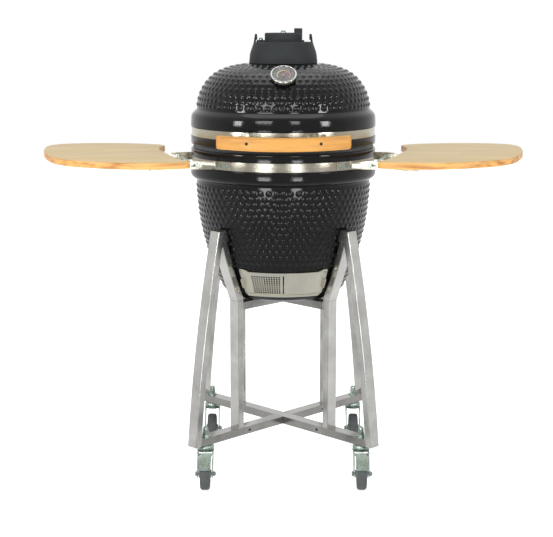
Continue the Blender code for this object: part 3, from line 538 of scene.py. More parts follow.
def softened(points, rounds=3):
    """An open line with its corners cut away again and again, its ends kept."""
    for _ in range(rounds):
        cut = [points[0]]
        for a, b in zip(points, points[1:]):
            cut += [(a[0] * 0.75 + b[0] * 0.25, a[1] * 0.75 + b[1] * 0.25),
                    (a[0] * 0.25 + b[0] * 0.75, a[1] * 0.25 + b[1] * 0.75)]
        points = cut + [points[-1]]
    return points


def evenly(points, step):
    """The same line with a point at each even step, as (x, y, distance from the start)."""
    lengths = [0.0]
    for a, b in zip(points, points[1:]):
        lengths.append(lengths[-1] + hypot(b[0] - a[0], b[1] - a[1]))
    count = round(lengths[-1] / step)
    result, at = [], 0
    for i in range(count + 1):
        run = lengths[-1] * i / count
        while at < len(points) - 2 and lengths[at + 1] < run:
            at += 1
        t = (run - lengths[at]) / (lengths[at + 1] - lengths[at])
        result.append((points[at][0] * (1 - t) + points[at + 1][0] * t,
                       points[at][1] * (1 - t) + points[at + 1][1] * t, run))
    return result


def ceramic(outline, columns, closed):
    """Spin an outline of (radius, height, run along the drops or -1, bare or not)."""
    shape = bmesh.new()
    run_layer = shape.verts.layers.float.new("run")
    bare_layer = shape.verts.layers.float.new("bare")
    line = []
    for r, z, run, bare in outline:
        vert = shape.verts.new((r, 0.0, z))
        vert[run_layer] = run
        vert[bare_layer] = bare
        line.append(vert)
    edges = [shape.edges.new(pair) for pair in zip(line, line[1:])]
    if closed:
        edges.append(shape.edges.new((line[-1], line[0])))
    bmesh.ops.spin(shape, geom=line + edges, axis=(0, 0, 1), cent=(0, 0, 0), angle=2 * pi,
                   steps=columns, use_merge=True)
    bmesh.ops.remove_doubles(shape, verts=shape.verts, dist=0.00001)
    bmesh.ops.recalc_face_normals(shape, faces=shape.faces)
    for face in shape.faces:
        face.material_index = 1 if all(v[bare_layer] > 0.5 for v in face.verts) else 0
    return shape, run_layer


def raise_drops(shape, run_layer, rows, first, spacing, clear):
    """Push the glazed wall out into round drops, row by row, except where clear says so."""
    shape.normal_update()
    moves = []
    for vert in shape.verts:
        run = vert[run_layer]
        row = round((run - first) / spacing)
        if run < 0.0 or not 0 <= row < len(rows):
            continue
        count, shift, size, height = rows[row]
        reach = vert.co.xy.length
        pitch = 2 * pi / count
        off = (atan2(vert.co.y, vert.co.x) / pitch + shift + 0.5) % 1.0 - 0.5
        away = hypot(off * pitch * reach, run - first - row * spacing) / size
        if away < 1.0 and not clear(vert.co):
            moves.append((vert, vert.normal * height * (1 - away * away) ** 1.5))
    for vert, move in moves:
        vert.co += move


BAND_SEAT_R = 0.2535
CERAMIC_STEPS = 608
WALL_STEP = 0.0026
BOWL_LINE = [(0.2433, 0.8285), (0.2425, 0.802), (0.240, 0.773), (0.236, 0.734),
             (0.228, 0.688), (0.219, 0.654), (0.213, 0.630), (0.202, 0.598),
             (0.189, 0.565), (0.1755, 0.5355), (0.1635, 0.512), (0.143, 0.503)]
inside = rounded([(0.0, 0.524, 0), (0.125, 0.524, 0.010), (0.1525, 0.5375, 0.0),
                  (0.1700, 0.577, 0.0), (0.179, 0.598, 0.010), (0.196, 0.654, 0.010),
                  (0.213, 0.734, 0.010), (0.220, 0.802, 0.010), (0.2325, 0.868, 0.010),
                  (0.2325, 0.9150, 0)])
rim = rounded([(0.2325, 0.9150, 0), (0.2325, 0.9186, 0.003), (0.258, 0.9186, 0.005),
               (0.258, 0.8959, 0.0015), (BAND_SEAT_R, 0.8959, 0), (BAND_SEAT_R, 0.8712, 0),
               (0.260, 0.8712, 0.003), (0.260, 0.8414, 0.009), (0.2433, 0.8300, 0.006),
               (0.2433, 0.8285, 0)], 5)
wall = evenly(softened(BOWL_LINE), WALL_STEP)
outline = [(r, z, -1.0, 1.0) for r, z in inside]
outline += [(r, z, -1.0, 0.0) for r, z in rim[1:-1]]
outline += [(r, z, run, 0.0) for r, z, run in wall]
outline.append((0.0, 0.503, -1.0, 0.0))
bowl, run_layer = ceramic(outline, CERAMIC_STEPS, False)

DROP_FIRST = 0.0150
DROP_ROW = 0.0164
wall_length = wall[-1][2]
rows = []
while DROP_FIRST + len(rows) * DROP_ROW < wall_length - 0.030:
    here = min(wall, key=lambda p: abs(p[2] - DROP_FIRST - len(rows) * DROP_ROW))
    rows.append((76, len(rows) % 2 * 0.5, 0.0068 * here[0] / 0.243, 0.0023))


def under_door(point):
    """The wall behind the draft door is left smooth."""
    return point.y < 0 and abs(atan2(point.x, -point.y)) < radians(42) and point.z < 0.602


raise_drops(bowl, run_layer, rows, DROP_FIRST, DROP_ROW, under_door)
gone = []
for face in bowl.faces:
    middle = face.calc_center_median()
    if (middle.y < 0 and 0.5375 < middle.z < 0.577 and middle.xy.length > 0.13
            and abs(atan2(middle.x, -middle.y)) < radians(31.8)):
        gone.append(face)
bmesh.ops.delete(bowl, geom=gone, context="FACES")
bmesh.ops.bridge_loops(bowl, edges=[edge for edge in bowl.edges if edge.is_boundary])
piece("base_bowl_glazed", bowl, [glaze, bare_clay], "stand", "black_glaze", "base_bowl")


# ---------------------------------------------------------------- steel bands
# Flat polished stainless strips, 24 mm wide, drawn tight round bowl and lid. The brackets and
# the hinge are bolted to them.
# Brushed round the strip, so that each lamp shows as an upright streak.
band_steel = stainless("polished_band_strip", ("#bdb8a8", "#d2cec0"), 0.20, (3, 3, 1100),
                       depth=0.8)
strip_tree = band_steel.node_tree
strip_shader = next(n for n in strip_tree.nodes if n.bl_idname == "ShaderNodeBsdfPrincipled")
strip_shader.inputs["Anisotropic"].default_value = 0.85
strip_shader.inputs["Anisotropic Rotation"].default_value = 0.25
facing = add_node(strip_tree, "NewGeometry")
around = add_node(strip_tree, "VectorMath", {1: (0.0, 0.0, 1.0)},
                  {0: facing.outputs["True Normal"]}, operation="CROSS_PRODUCT")
strip_tree.links.new(around.outputs[0], strip_shader.inputs["Tangent"])
for name, low, high, body in (("base_band", 0.8715, 0.8956, "stand"),
                              ("lid_band", 0.9525, 0.9760, "lid")):
    strip = bmesh.new()
    inner, outer, mid = BAND_SEAT_R + 0.0003, BAND_SEAT_R + 0.0023, (low + high) / 2
    spun(strip, rounded([(inner, mid, 0), (inner, high, 0), (outer, high, 0.0008),
                         (outer, low, 0.0008), (inner, low, 0)]), 200, closed=True)
    piece(name + "_strip", strip, [band_steel], body, "polished_stainless", name)


# ---------------------------------------------------------------- gaskets
# Two rings of black needle felt, one glued to each rim, that meet when the lid is shut.
# Needle felt: black, with a soft lighter fuzz.
felt, felt_tree, felt_shader = new_surface("black_needle_felt", Roughness=0.95, Sheen_Weight=0.4)
place = add_node(felt_tree, "TexCoord")
fibre = add_node(felt_tree, "TexNoise", {"Scale": 900.0, "Detail": 6.0, "Distortion": 1.2},
                 {"Vector": place.outputs["Object"]})
tint = add_node(felt_tree, "Mix", {6: linear("#0c0c0c"), 7: linear("#2b2b2a")},
                {0: fibre.outputs["Fac"]}, data_type="RGBA")
relief = add_node(felt_tree, "Bump", {"Strength": 0.8, "Distance": 0.0008},
                  {"Height": fibre.outputs["Fac"]})
felt_tree.links.new(tint.outputs[2], felt_shader.inputs["Base Color"])
felt_tree.links.new(relief.outputs[0], felt_shader.inputs["Normal"])
for name, low, high, body, hides in (("base_felt", 0.9188, 0.9235, "stand", ["base_gasket"]),
                                     ("lid_felt", 0.9237, 0.9284, "lid", [])):
    ring = bmesh.new()
    spun(ring, rounded([(0.2360, (low + high) / 2, 0), (0.2360, high, 0.001),
                        (0.2520, high, 0.0015), (0.2520, low, 0.0015), (0.2360, low, 0.001),
                        (0.2360, (low + high) / 2 - 0.0001, 0)]), 160, closed=True)
    piece(name, ring, [felt], body, "gasket_felt", *hides)


# ---------------------------------------------------------------- fire parts
# A fireclay cup and ring stand loose in the bowl. A cast grate lies in the cup, and a round
# grid of welded stainless rod lies on the ring.
# Cast iron: blue-black and matte, with a sandy skin from the mould.
cast, cast_tree, cast_shader = new_surface("matte_cast_iron", Roughness=0.62, Metallic=0.35)
place = add_node(cast_tree, "TexCoord")
sand = add_node(cast_tree, "TexNoise", {"Scale": 620.0, "Detail": 4.0},
                {"Vector": place.outputs["Object"]})
patch = add_node(cast_tree, "TexNoise", {"Scale": 26.0, "Detail": 4.0},
                 {"Vector": place.outputs["Object"]})
tint = add_node(cast_tree, "Mix", {6: linear("#1b1e20"), 7: linear("#303437")},
                {0: patch.outputs["Fac"]}, data_type="RGBA")
relief = add_node(cast_tree, "Bump", {"Strength": 0.45, "Distance": 0.0005},
                  {"Height": sand.outputs["Fac"]})
cast_tree.links.new(tint.outputs[2], cast_shader.inputs["Base Color"])
cast_tree.links.new(relief.outputs[0], cast_shader.inputs["Normal"])
# Drawn rod: silver with fine lines along it.
rod_steel = stainless("drawn_stainless_rod", ("#b9b8b2", "#d2d1cb"), 0.26, (600, 14, 600))

refined("firebox", bare_clay, 0.0025, "stand", "fireclay")
refined("fire_ring", bare_clay, 0.0025, "stand", "fireclay")
refined("charcoal_grate", cast, 0.0012, "stand", "cast_iron")
refined("cooking_grid", rod_steel, 0.0012, "stand", "brushed_stainless")


# ---------------------------------------------------------------- draft door
# A curved stainless channel screwed to the bowl. A perforated slide on the left and a plain
# one on the right run in it, each with a finger tab bent out at its far end.
DOOR_R = 0.190
# Brushed sheet: pale, with hairlines round the bowl and a wide soft sheen.
plate_steel = stainless("brushed_door_plate", ("#d3d0c2", "#ebe8dc"), 0.34, (8, 8, 1300),
                        depth=0.9)


def bowl_radius(z):
    """The bowl's outer radius on the lower cone that the door lies against."""
    return 0.1755 + (z - 0.5355) * 0.432


def pushed(shape, faces, move):
    """Extrude faces by a move, and return the new vertices."""
    grown = bmesh.ops.extrude_face_region(shape, geom=faces)["geom"]
    new = [v for v in grown if isinstance(v, bmesh.types.BMVert)]
    bmesh.ops.translate(shape, vec=move, verts=new)
    return new


def slab(shape, outline, near, far):
    """A flat plate from an outline of (arc length, height), between two offsets."""
    low = [shape.verts.new((x, -near, z)) for x, z in outline]
    pushed(shape, [shape.faces.new(low)], (0, near - far, 0))


def wrap(shape):
    """Cut a flat plate across every 5 mm and bend it round the bowl."""
    for i in range(-26, 27):
        geom = list(shape.verts) + list(shape.edges) + list(shape.faces)
        bmesh.ops.bisect_plane(shape, geom=geom, dist=0.00001, plane_no=(1, 0, 0),
                               plane_co=(i * 0.005 + 0.0001, 0, 0))
    for vert in shape.verts:
        angle = vert.co.x / DOOR_R
        reach = bowl_radius(vert.co.z) - vert.co.y
        vert.co = (reach * sin(angle), -reach * cos(angle), vert.co.z)
    bmesh.ops.recalc_face_normals(shape, faces=shape.faces)


def plate_outline(x0, x1, z0, z1, radius):
    """A rectangle with round corners."""
    mid = (z0 + z1) / 2
    return rounded([(x0, mid, 0), (x0, z1, radius), (x1, z1, radius), (x1, z0, radius),
                    (x0, z0, radius), (x0, mid - 0.0001, 0)], 6)


DOOR_HALF = DOOR_R * radians(36.6)
WINDOW_HALF = 0.0935
door = bmesh.new()
for side in (-1, 1):
    edge, mid = side * WINDOW_HALF, 0.557
    slab(door, rounded([(edge, mid, 0), (edge, 0.593, 0), (side * 0.108, 0.5985, 0.003),
                        (side * DOOR_HALF, 0.5985, 0.009), (side * DOOR_HALF, 0.5215, 0.011),
                        (edge, 0.5215, 0)], 6),
         0.0012, 0.0027)
slab(door, [(-WINDOW_HALF, 0.5835), (-WINDOW_HALF, 0.593), (WINDOW_HALF, 0.593),
            (WINDOW_HALF, 0.5835)], 0.0012, 0.0027)
slab(door, [(-WINDOW_HALF, 0.5215), (-WINDOW_HALF, 0.5305), (WINDOW_HALF, 0.5305),
            (WINDOW_HALF, 0.5215)], 0.0012, 0.0027)
for low, high in ((0.5868, 0.5930), (0.5215, 0.5277)):
    slab(door, plate_outline(-0.108, 0.108, low, high, 0.001), 0.0026, 0.0086)
wrap(door)
eased(piece("draft_frame_plate", door, [plate_steel], "stand", "brushed_stainless",
            "draft_frame"), 0.0004)

screws = bmesh.new()
for side in (-1, 1):
    for z in (0.5925, 0.5280):
        angle = side * radians(34.6)
        reach = bowl_radius(z) + 0.0027
        seat = Vector((reach * sin(angle), -reach * cos(angle), z))
        out = Vector((sin(angle), -cos(angle), -0.43)).normalized()
        spun(screws, rounded([(0.0, 0.0024, 0), (0.0024, 0.0022, 0.001), (0.0036, 0.0006, 0.0006),
                              (0.0036, -0.0004, 0), (0.0, -0.0004, 0)]), 20, turn_on(seat, out))
piece("draft_frame_screws", screws, [zinc], "stand", "zinc_plate")

mesh_slide = bmesh.new()
left, right = -DOOR_R * radians(36), -DOOR_R * radians(0.5)
slab_face = [mesh_slide.verts.new((x, -0.0031, z))
             for x, z in ((left, 0.5282), (right, 0.5282), (right, 0.5862), (left, 0.5862))]
mesh_slide.faces.new(slab_face)
HOLE = 0.0043
columns = [-0.0110 - 0.0067 * i for i in range(12)]
lines = [0.5335 + 0.0058 * j for j in range(9)]
cuts = [((x + s * HOLE / 2, 0, 0), (1, 0, 0)) for x in columns for s in (-1, 1)]
cuts += [((0, 0, z + s * HOLE / 2), (0, 0, 1)) for z in lines for s in (-1, 1)]
for point, normal in cuts:
    geom = list(mesh_slide.verts) + list(mesh_slide.edges) + list(mesh_slide.faces)
    bmesh.ops.bisect_plane(mesh_slide, geom=geom, dist=0.00001, plane_co=point, plane_no=normal)
holes = []
for face in mesh_slide.faces:
    middle = face.calc_center_median()
    if (min(abs(middle.x - x) for x in columns) < HOLE / 2 - 0.0002
            and min(abs(middle.z - z) for z in lines) < HOLE / 2 - 0.0002):
        holes.append(face)
bmesh.ops.delete(mesh_slide, geom=holes, context="FACES")
pushed(mesh_slide, list(mesh_slide.faces), (0, -0.0011, 0))


def finger_tab(shape, side, near):
    """A tab bent straight out of a slide, with soft corners."""
    x = side * DOOR_R * radians(34.5)
    ends = rounded([(-near, 0.557, 0), (-near, 0.571, 0), (-0.0160, 0.571, 0.005),
                    (-0.0160, 0.543, 0.005), (-near, 0.543, 0)], 5)
    low = [shape.verts.new((x - 0.0009, y, z)) for y, z in ends]
    pushed(shape, [shape.faces.new(low)], (0.0018, 0, 0))


finger_tab(mesh_slide, -1, 0.0038)
wrap(mesh_slide)
piece("draft_mesh_plate", mesh_slide, [plate_steel], "mesh_slide", "brushed_stainless",
      "draft_mesh_slide")

plain_slide = bmesh.new()
slab(plain_slide, plate_outline(DOOR_R * radians(0.5), DOOR_R * radians(36), 0.5282, 0.5862,
                                0.002), 0.0047, 0.0060)
finger_tab(plain_slide, 1, 0.0054)
wrap(plain_slide)
eased(piece("draft_plain_plate", plain_slide, [plate_steel], "solid_slide", "brushed_stainless",
            "draft_solid_slide"), 0.0003)


# ---------------------------------------------------------------- lid dome
# The lid is cast and glazed like the bowl. Its drops keep their spacing toward the top, so each
# row has fewer. The middle is open for the chimney casting.
DOME_LINE = [(0.2411, 1.0258), (0.2399, 1.0426), (0.2357, 1.0594), (0.2296, 1.0761),
             (0.2195, 1.0928), (0.2075, 1.1085), (0.1875, 1.1251), (0.1667, 1.1339),
             (0.1448, 1.1416), (0.095, 1.1490)]
DIAL_TILT = radians(52)
DIAL_SEAT = Vector((0.0, -0.1985, 1.1175))
DIAL_OUT = Vector((0.0, -cos(DIAL_TILT), sin(DIAL_TILT)))
skirt = rounded([(0.2325, 0.9320, 0), (0.2325, 0.9286, 0.003), (0.258, 0.9286, 0.005),
                 (0.258, 0.9522, 0.0015), (BAND_SEAT_R, 0.9522, 0), (BAND_SEAT_R, 0.9763, 0),
                 (0.258, 0.9763, 0.0025), (0.258, 0.990, 0.004), (0.2567, 1.0111, 0.009),
                 (0.2420, 1.0240, 0.005), (0.2411, 1.0258, 0)], 5)
wall = evenly(softened(DOME_LINE), WALL_STEP)
hollow = rounded([(0.060, 1.1280, 0), (0.140, 1.1220, 0.010), (0.178, 1.1060, 0.010),
                  (0.200, 1.0850, 0.010), (0.215, 1.0594, 0.010), (0.219, 1.0258, 0.010),
                  (0.2325, 0.9800, 0.010), (0.2325, 0.9400, 0)])
outline = [(r, z, -1.0, 0.0) for r, z in skirt[:-1]]
outline += [(r, z, run, 0.0) for r, z, run in wall]
outline += [(0.062, 1.1490, -1.0, 0.0), (0.060, 1.1470, -1.0, 1.0)]
outline += [(r, z, -1.0, 1.0) for r, z in hollow]
dome, run_layer = ceramic(outline, CERAMIC_STEPS, True)
rows = []
wall_length = wall[-1][2]
DOME_FIRST = 0.0125
DOME_ROW = 0.0165
while DOME_FIRST + len(rows) * DOME_ROW < wall_length - 0.008:
    here = min(wall, key=lambda p: abs(p[2] - DOME_FIRST - len(rows) * DOME_ROW))
    rows.append((round(2 * pi * here[0] / 0.019), len(rows) % 2 * 0.5, 0.0067, 0.0023))


def near_dial(point):
    """Smooth ground for the thermometer."""
    return (point - DIAL_SEAT).length < 0.033


raise_drops(dome, run_layer, rows, DOME_FIRST, DOME_ROW, near_dial)
piece("lid_dome_glazed", dome, [glaze, bare_clay], "lid", "black_glaze", "lid_dome")


# ---------------------------------------------------------------- lid hinge
# Two pressed brackets bolted through the bands hold one pin at the back.
def bolt_head(shape, point, out, across=0.008, height=0.0035):
    """A hexagon head on a washer, standing out from a face."""
    seat = turn_on(point, out)
    spun(shape, rounded([(0.0, 0.0011, 0), (across * 0.78, 0.0011, 0.0003), (across * 0.78, 0.0, 0),
                         (0.0, 0.0, 0)]), 24, seat)
    hexagon(shape, seat @ Matrix.Translation((0, 0, 0.001)), across, height)


refined("hinge_lower_bracket", band_steel, 0.0006, "stand", "polished_stainless")
refined("hinge_upper_bracket", band_steel, 0.0006, "lid", "polished_stainless")
refined("hinge_pin", zinc, 0.0006, "stand", "zinc_plate")
for body, z in (("stand", 0.8835), ("lid", 0.9650)):
    heads = bmesh.new()
    for x in (-0.011, 0.011):
        bolt_head(heads, (x, 0.2597, z), (0, 1, 0))
    eased(piece("hinge_bolts_" + body, heads, [zinc], body, "zinc_plate"), 0.0004)


# ---------------------------------------------------------------- lid handle
# A bowed bar of laminated bamboo, oiled to a honey tone, on two bent stainless straps. Each
# strap is bolted to the lid band, and a black screw holds the bar to it.
def bamboo(name, tones, edge_tones, turn, strip, block):
    """Laminated bamboo: strips glued side by side, with fine fibres and a few dark nodes."""
    surface, tree, shader = new_surface(name, Roughness=0.42, IOR=1.5)
    place = add_node(tree, "TexCoord")
    lay = add_node(tree, "Mapping", {"Rotation": (0.0, 0.0, turn)},
                   {"Vector": place.outputs["Object"]})
    joint = add_node(tree, "TexBrick", {"Color1": (0.0, 0.0, 0.0, 1.0), "Color2": (1, 1, 1, 1),
                                        "Mortar": (0.5, 0.5, 0.5, 1), "Scale": 1.0,
                                        "Mortar Size": 0.0003, "Mortar Smooth": 0.5, "Bias": 0.0,
                                        "Brick Width": block, "Row Height": strip},
                     {"Vector": lay.outputs[0]}, offset=0.37)
    stretch = add_node(tree, "Mapping", {"Scale": (9.0, 620.0, 620.0)},
                       {"Vector": lay.outputs[0]})
    fibre = add_node(tree, "TexNoise", {"Scale": 1.0, "Detail": 4.0, "Roughness": 0.6},
                     {"Vector": stretch.outputs[0]})
    broad = add_node(tree, "Mapping", {"Scale": (5.0, 34.0, 90.0)}, {"Vector": lay.outputs[0]})
    cloud = add_node(tree, "TexNoise", {"Scale": 1.0, "Detail": 3.0}, {"Vector": broad.outputs[0]})
    strips = add_node(tree, "Mix", {6: linear(tones[0]), 7: linear(tones[1])},
                      {0: joint.outputs["Color"]}, data_type="RGBA")
    seam = add_node(tree, "Math", {1: 0.35}, {0: joint.outputs["Fac"]}, operation="MULTIPLY")
    seams = add_node(tree, "Mix", {7: linear(tones[2])}, {0: seam.outputs[0], 6: strips.outputs[2]},
                     data_type="RGBA")
    blotch = add_node(tree, "MapRange", {"From Min": 0.42, "From Max": 0.70},
                      {"Value": cloud.outputs["Fac"]})
    sides = add_node(tree, "Mix", {6: linear(edge_tones[0]), 7: linear(edge_tones[1])},
                     {0: blotch.outputs[0]}, data_type="RGBA")
    facing = add_node(tree, "SeparateXYZ", links={0: place.outputs["Normal"]})
    level = add_node(tree, "Math", links={0: facing.outputs["Z"]}, operation="ABSOLUTE")
    flatness = add_node(tree, "MapRange", {"From Min": 0.55, "From Max": 0.92},
                        {"Value": level.outputs[0]})
    wood = add_node(tree, "Mix", links={0: flatness.outputs[0], 6: sides.outputs[2],
                                        7: seams.outputs[2]}, data_type="RGBA")
    line = add_node(tree, "MapRange", {"From Min": 0.35, "From Max": 0.75, "To Max": 0.35},
                    {"Value": fibre.outputs["Fac"]})
    tint = add_node(tree, "Mix", {7: linear(tones[2])}, {0: line.outputs[0], 6: wood.outputs[2]},
                    data_type="RGBA")
    relief = add_node(tree, "Bump", {"Strength": 0.10, "Distance": 0.0004},
                      {"Height": fibre.outputs["Fac"]})
    tree.links.new(tint.outputs[2], shader.inputs["Base Color"])
    tree.links.new(relief.outputs[0], shader.inputs["Normal"])
    return surface


# Oiled bamboo: a warm honey with a few darker fibres.
honey = bamboo("oiled_honey_bamboo", ("#c48f45", "#d2a25b", "#98602a"), ("#c79142", "#ae7836"),
               0.0, 0.012, 0.30)
BOW_Y = 0.113
BOW_R = 0.420
BOW_HALF = asin(0.1795 / BOW_R)
BAR_DEPTH = 0.024
BAR_FOOT = 0.9315
BAR_TALL = 0.0363
BAR_LIFT = 0.0048
bar = bmesh.new()
path = []
for i in range(37):
    angle = -BOW_HALF + 2 * BOW_HALF * i / 36
    path.append((BOW_R * sin(angle), BOW_Y - BOW_R * cos(angle)))
for i in range(37):
    angle = BOW_HALF - 2 * BOW_HALF * i / 36
    path.append(((BOW_R - BAR_DEPTH) * sin(angle), BOW_Y - (BOW_R - BAR_DEPTH) * cos(angle)))
foot = bar.faces.new([bar.verts.new((x, y, BAR_FOOT)) for x, y in path])
pushed(bar, [foot], (0, 0, BAR_TALL))
bmesh.ops.recalc_face_normals(bar, faces=bar.faces)
sharp = [edge for edge in bar.edges if edge.calc_face_angle(0.0) > radians(45)]
bmesh.ops.bevel(bar, geom=sharp, offset=0.007, segments=5, profile=0.5, affect="EDGES",
                material=-1)
for vert in bar.verts:
    vert.co.z += BAR_LIFT * (vert.co.x / 0.18) ** 2 - 0.0010
piece("lid_handle_bar", bar, [honey], "lid", "honey_bamboo", "lid_handle")

# Black oxide: near black steel with brown where it has worn.
black_oxide = mottled("black_oxide_screw", ("#1a1a1a", "#3b3733"), 300.0, Metallic=0.8,
                      Roughness=0.4)

handle_screws = bmesh.new()
strap_bolts = bmesh.new()
for side in (-1, 1):
    angle = side * asin(0.097 / BOW_R)
    out = Vector((sin(angle), -cos(angle), 0.0))
    seat = Vector((0.0, BOW_Y, 0.9515)) + out * (BOW_R - 0.0002)
    spun(handle_screws, rounded([(0.0, 0.0002, 0), (0.0014, 0.0002, 0.0002), (0.0018, 0.0010, 0.0004),
                                 (0.0040, 0.0006, 0.0004), (0.0044, -0.0004, 0),
                                 (0.0, -0.0004, 0)]), 24, turn_on(seat, out))
    for x in (0.067, 0.080):
        reach = BAND_SEAT_R + 0.0023 + 0.0006 + 0.0025
        spot_y = -sqrt(reach * reach - x * x)
        out = Vector((side * x, spot_y, 0.0)).normalized()
        bolt_head(strap_bolts, (side * x, spot_y, 0.9642), out, 0.0075, 0.003)
piece("handle_screws", handle_screws, [black_oxide], "lid", "zinc_plate")
eased(piece("handle_strap_bolts", strap_bolts, [zinc], "lid", "zinc_plate"), 0.0004)
for side in ("left", "right"):
    refined("handle_bracket_" + side, band_steel, 0.0005, "lid", "polished_stainless")


# ---------------------------------------------------------------- chimney vent
# A matte dark casting on the dome's mouth, with two ears for the rain cap. A plate swings aside
# on a screw at the left, and a four-petal wheel turns on it for fine control.
vent_base = bmesh.new()
spun(vent_base, rounded([(0.0550, 1.2077, 0), (0.0815, 1.2077, 0.0020), (0.0925, 1.1760, 0.008),
                         (0.0950, 1.1493, 0.0015), (0.0600, 1.1493, 0),
                         (0.0600, 1.1900, 0.003), (0.0500, 1.2010, 0.002), (0.0500, 1.2077, 0.001),
                         (0.0549, 1.2077, 0)]), 96, closed=True)
for side in (-1, 1):
    ear = rounded([(side * 0.0758, 1.2100, 0), (side * 0.0758, 1.1990, 0),
                   (side * 0.0840, 1.1960, 0), (side * 0.0815, 1.2090, 0.004),
                   (side * 0.0785, 1.2296, 0.0024), (side * 0.0725, 1.2296, 0.0024),
                   (side * 0.0718, 1.2138, 0.001), (side * 0.0758, 1.2130, 0.0)], 4)
    face = vent_base.faces.new([vent_base.verts.new((x, -0.008, z)) for x, z in ear])
    moved = pushed(vent_base, [face], (0, 0.016, 0))
    whole = list({f for v in moved for f in v.link_faces} | {face})
    bmesh.ops.recalc_face_normals(vent_base, faces=whole)
eased(piece("vent_base_casting", vent_base, [cast], "lid", "cast_iron", "vent_base"), 0.0008)
refined("vent_slide_plate", cast, 0.0007, "vent_plate", "cast_iron")
refined("vent_wheel", cast, 0.0010, "vent_cap", "cast_iron")

thumb = bmesh.new()
bmesh.ops.create_cube(thumb, size=1.0, matrix=Matrix.Translation((0.0413, 0, 1.2295))
                      @ Matrix.Diagonal((0.0225, 0.008, 0.0308, 1.0)))
eased(piece("vent_thumb_tab", thumb, [cast], "vent_cap", "cast_iron"), 0.0010)

for node, body, point, radius in (("vent_centre_screw", "vent_plate", (0, 0, 1.2328), 0.0078),
                                  ("vent_pivot_screw", "lid", (-0.062, 0, 1.2129), 0.0060)):
    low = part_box(node)[0]
    stud = bmesh.new()
    seat = Matrix.Translation(point)
    spun(stud, rounded([(0.0, 0.0075, 0), (radius * 0.80, 0.0060, 0.004),
                        (radius, 0.0012, 0.001), (radius, 0.0, 0), (0.0030, 0.0, 0),
                        (0.0030, low.z - point[2], 0), (0.0, low.z - point[2], 0)]), 32, seat)
    piece(node + "_domed", stud, [zinc], body, "zinc_plate", node)


# ---------------------------------------------------------------- thermometer
# A stainless case with a thin rolled bezel, a black enamelled dial with a coloured heat arc and
# plain ticks, a red pointer, and a flat glass.
dial = turn_on(DIAL_SEAT, DIAL_OUT)
case = bmesh.new()
spun(case, rounded([(0.0, 0.0090, 0), (0.0300, 0.0090, 0), (0.0312, 0.0146, 0.0006),
                    (0.0322, 0.0150, 0.0006), (0.0350, 0.0132, 0.0012), (0.0350, 0.0045, 0.001),
                    (0.0300, 0.0012, 0), (0.0045, 0.0010, 0), (0.0045, -0.0450, 0),
                    (0.0, -0.0480, 0)]), 72, dial)
# Rolled bright case: the glossiest steel on the grill.
case_steel = stainless("rolled_stainless_case", ("#cfcdc8", "#e6e5e1"), 0.12, (500, 500, 500))
piece("thermometer_case_rolled", case, [case_steel], "lid", "polished_stainless",
      "thermometer_case")

# Stove enamel: flat black, with a trace of dust.
enamel = mottled("black_dial_enamel", ("#050505", "#101012"), 500.0, 3.0, Roughness=0.5, IOR=1.2)
face = bmesh.new()
spun(face, [(0.0, 0.0096), (0.0299, 0.0096), (0.0299, 0.0091), (0.0, 0.0091)], 64, dial)
piece("dial_face", face, [enamel], "lid", "polished_stainless")

# Screen print: green to red along the arc, a little thin in places.
arc_ink, arc_tree, arc_shader = new_surface("printed_heat_arc", Roughness=0.5, IOR=1.5)
along_arc = add_node(arc_tree, "TexCoord")
ramp = add_node(arc_tree, "ValToRGB")
split = add_node(arc_tree, "SeparateXYZ", links={0: along_arc.outputs["UV"]})
arc_tree.links.new(split.outputs["X"], ramp.inputs[0])
ramp.color_ramp.elements[0].color = linear("#b9c94e")
ramp.color_ramp.elements[1].color = linear("#c2304a")
for at, code in ((0.35, "#e0d35a"), (0.6, "#e28a45"), (0.8, "#dd5a55")):
    ramp.color_ramp.elements.new(at).color = linear(code)
screen = add_node(arc_tree, "TexNoise", {"Scale": 900.0}, {"Vector": along_arc.outputs["Object"]})
worn = add_node(arc_tree, "Math", {1: 0.15}, {0: screen.outputs["Fac"]}, operation="MULTIPLY")
print_tint = add_node(arc_tree, "Mix", {7: linear("#1c1d1f")},
                      {0: worn.outputs[0], 6: ramp.outputs["Color"]}, data_type="RGBA")
arc_tree.links.new(print_tint.outputs[2], arc_shader.inputs["Base Color"])

ARC_SPAN = 250
ARC_START = 215
strip = bmesh.new()
uv = strip.loops.layers.uv.new("along_arc")
start = [strip.verts.new((r, 0.0, 0.0098)) for r in (0.0160, 0.0190)]
bmesh.ops.spin(strip, geom=start + [strip.edges.new(start)], axis=(0, 0, 1), cent=(0, 0, 0),
               angle=radians(-ARC_SPAN), steps=50)
bmesh.ops.recalc_face_normals(strip, faces=strip.faces)
if strip.faces[:][0].normal.z < 0:
    bmesh.ops.reverse_faces(strip, faces=strip.faces)
for polygon in strip.faces:
    for loop in polygon.loops:
        turned_by = -atan2(loop.vert.co.y, loop.vert.co.x) % (2 * pi)
        share = min(turned_by / radians(ARC_SPAN), 1.0)
        loop[uv].uv = (share if turned_by < radians(300) else 0.0, 0.5)
pushed(strip, strip.faces[:], (0, 0, -0.0001))
bmesh.ops.recalc_face_normals(strip, faces=strip.faces)
upright_dial = dial
if (dial.to_3x3() @ Vector((0, 1, 0))).z < 0:
    upright_dial = dial @ Matrix.Rotation(pi, 4, "Z")
strip.transform(upright_dial @ Matrix.Rotation(radians(ARC_START), 4, "Z"))
piece("dial_heat_arc", strip, [arc_ink], "lid", "polished_stainless")

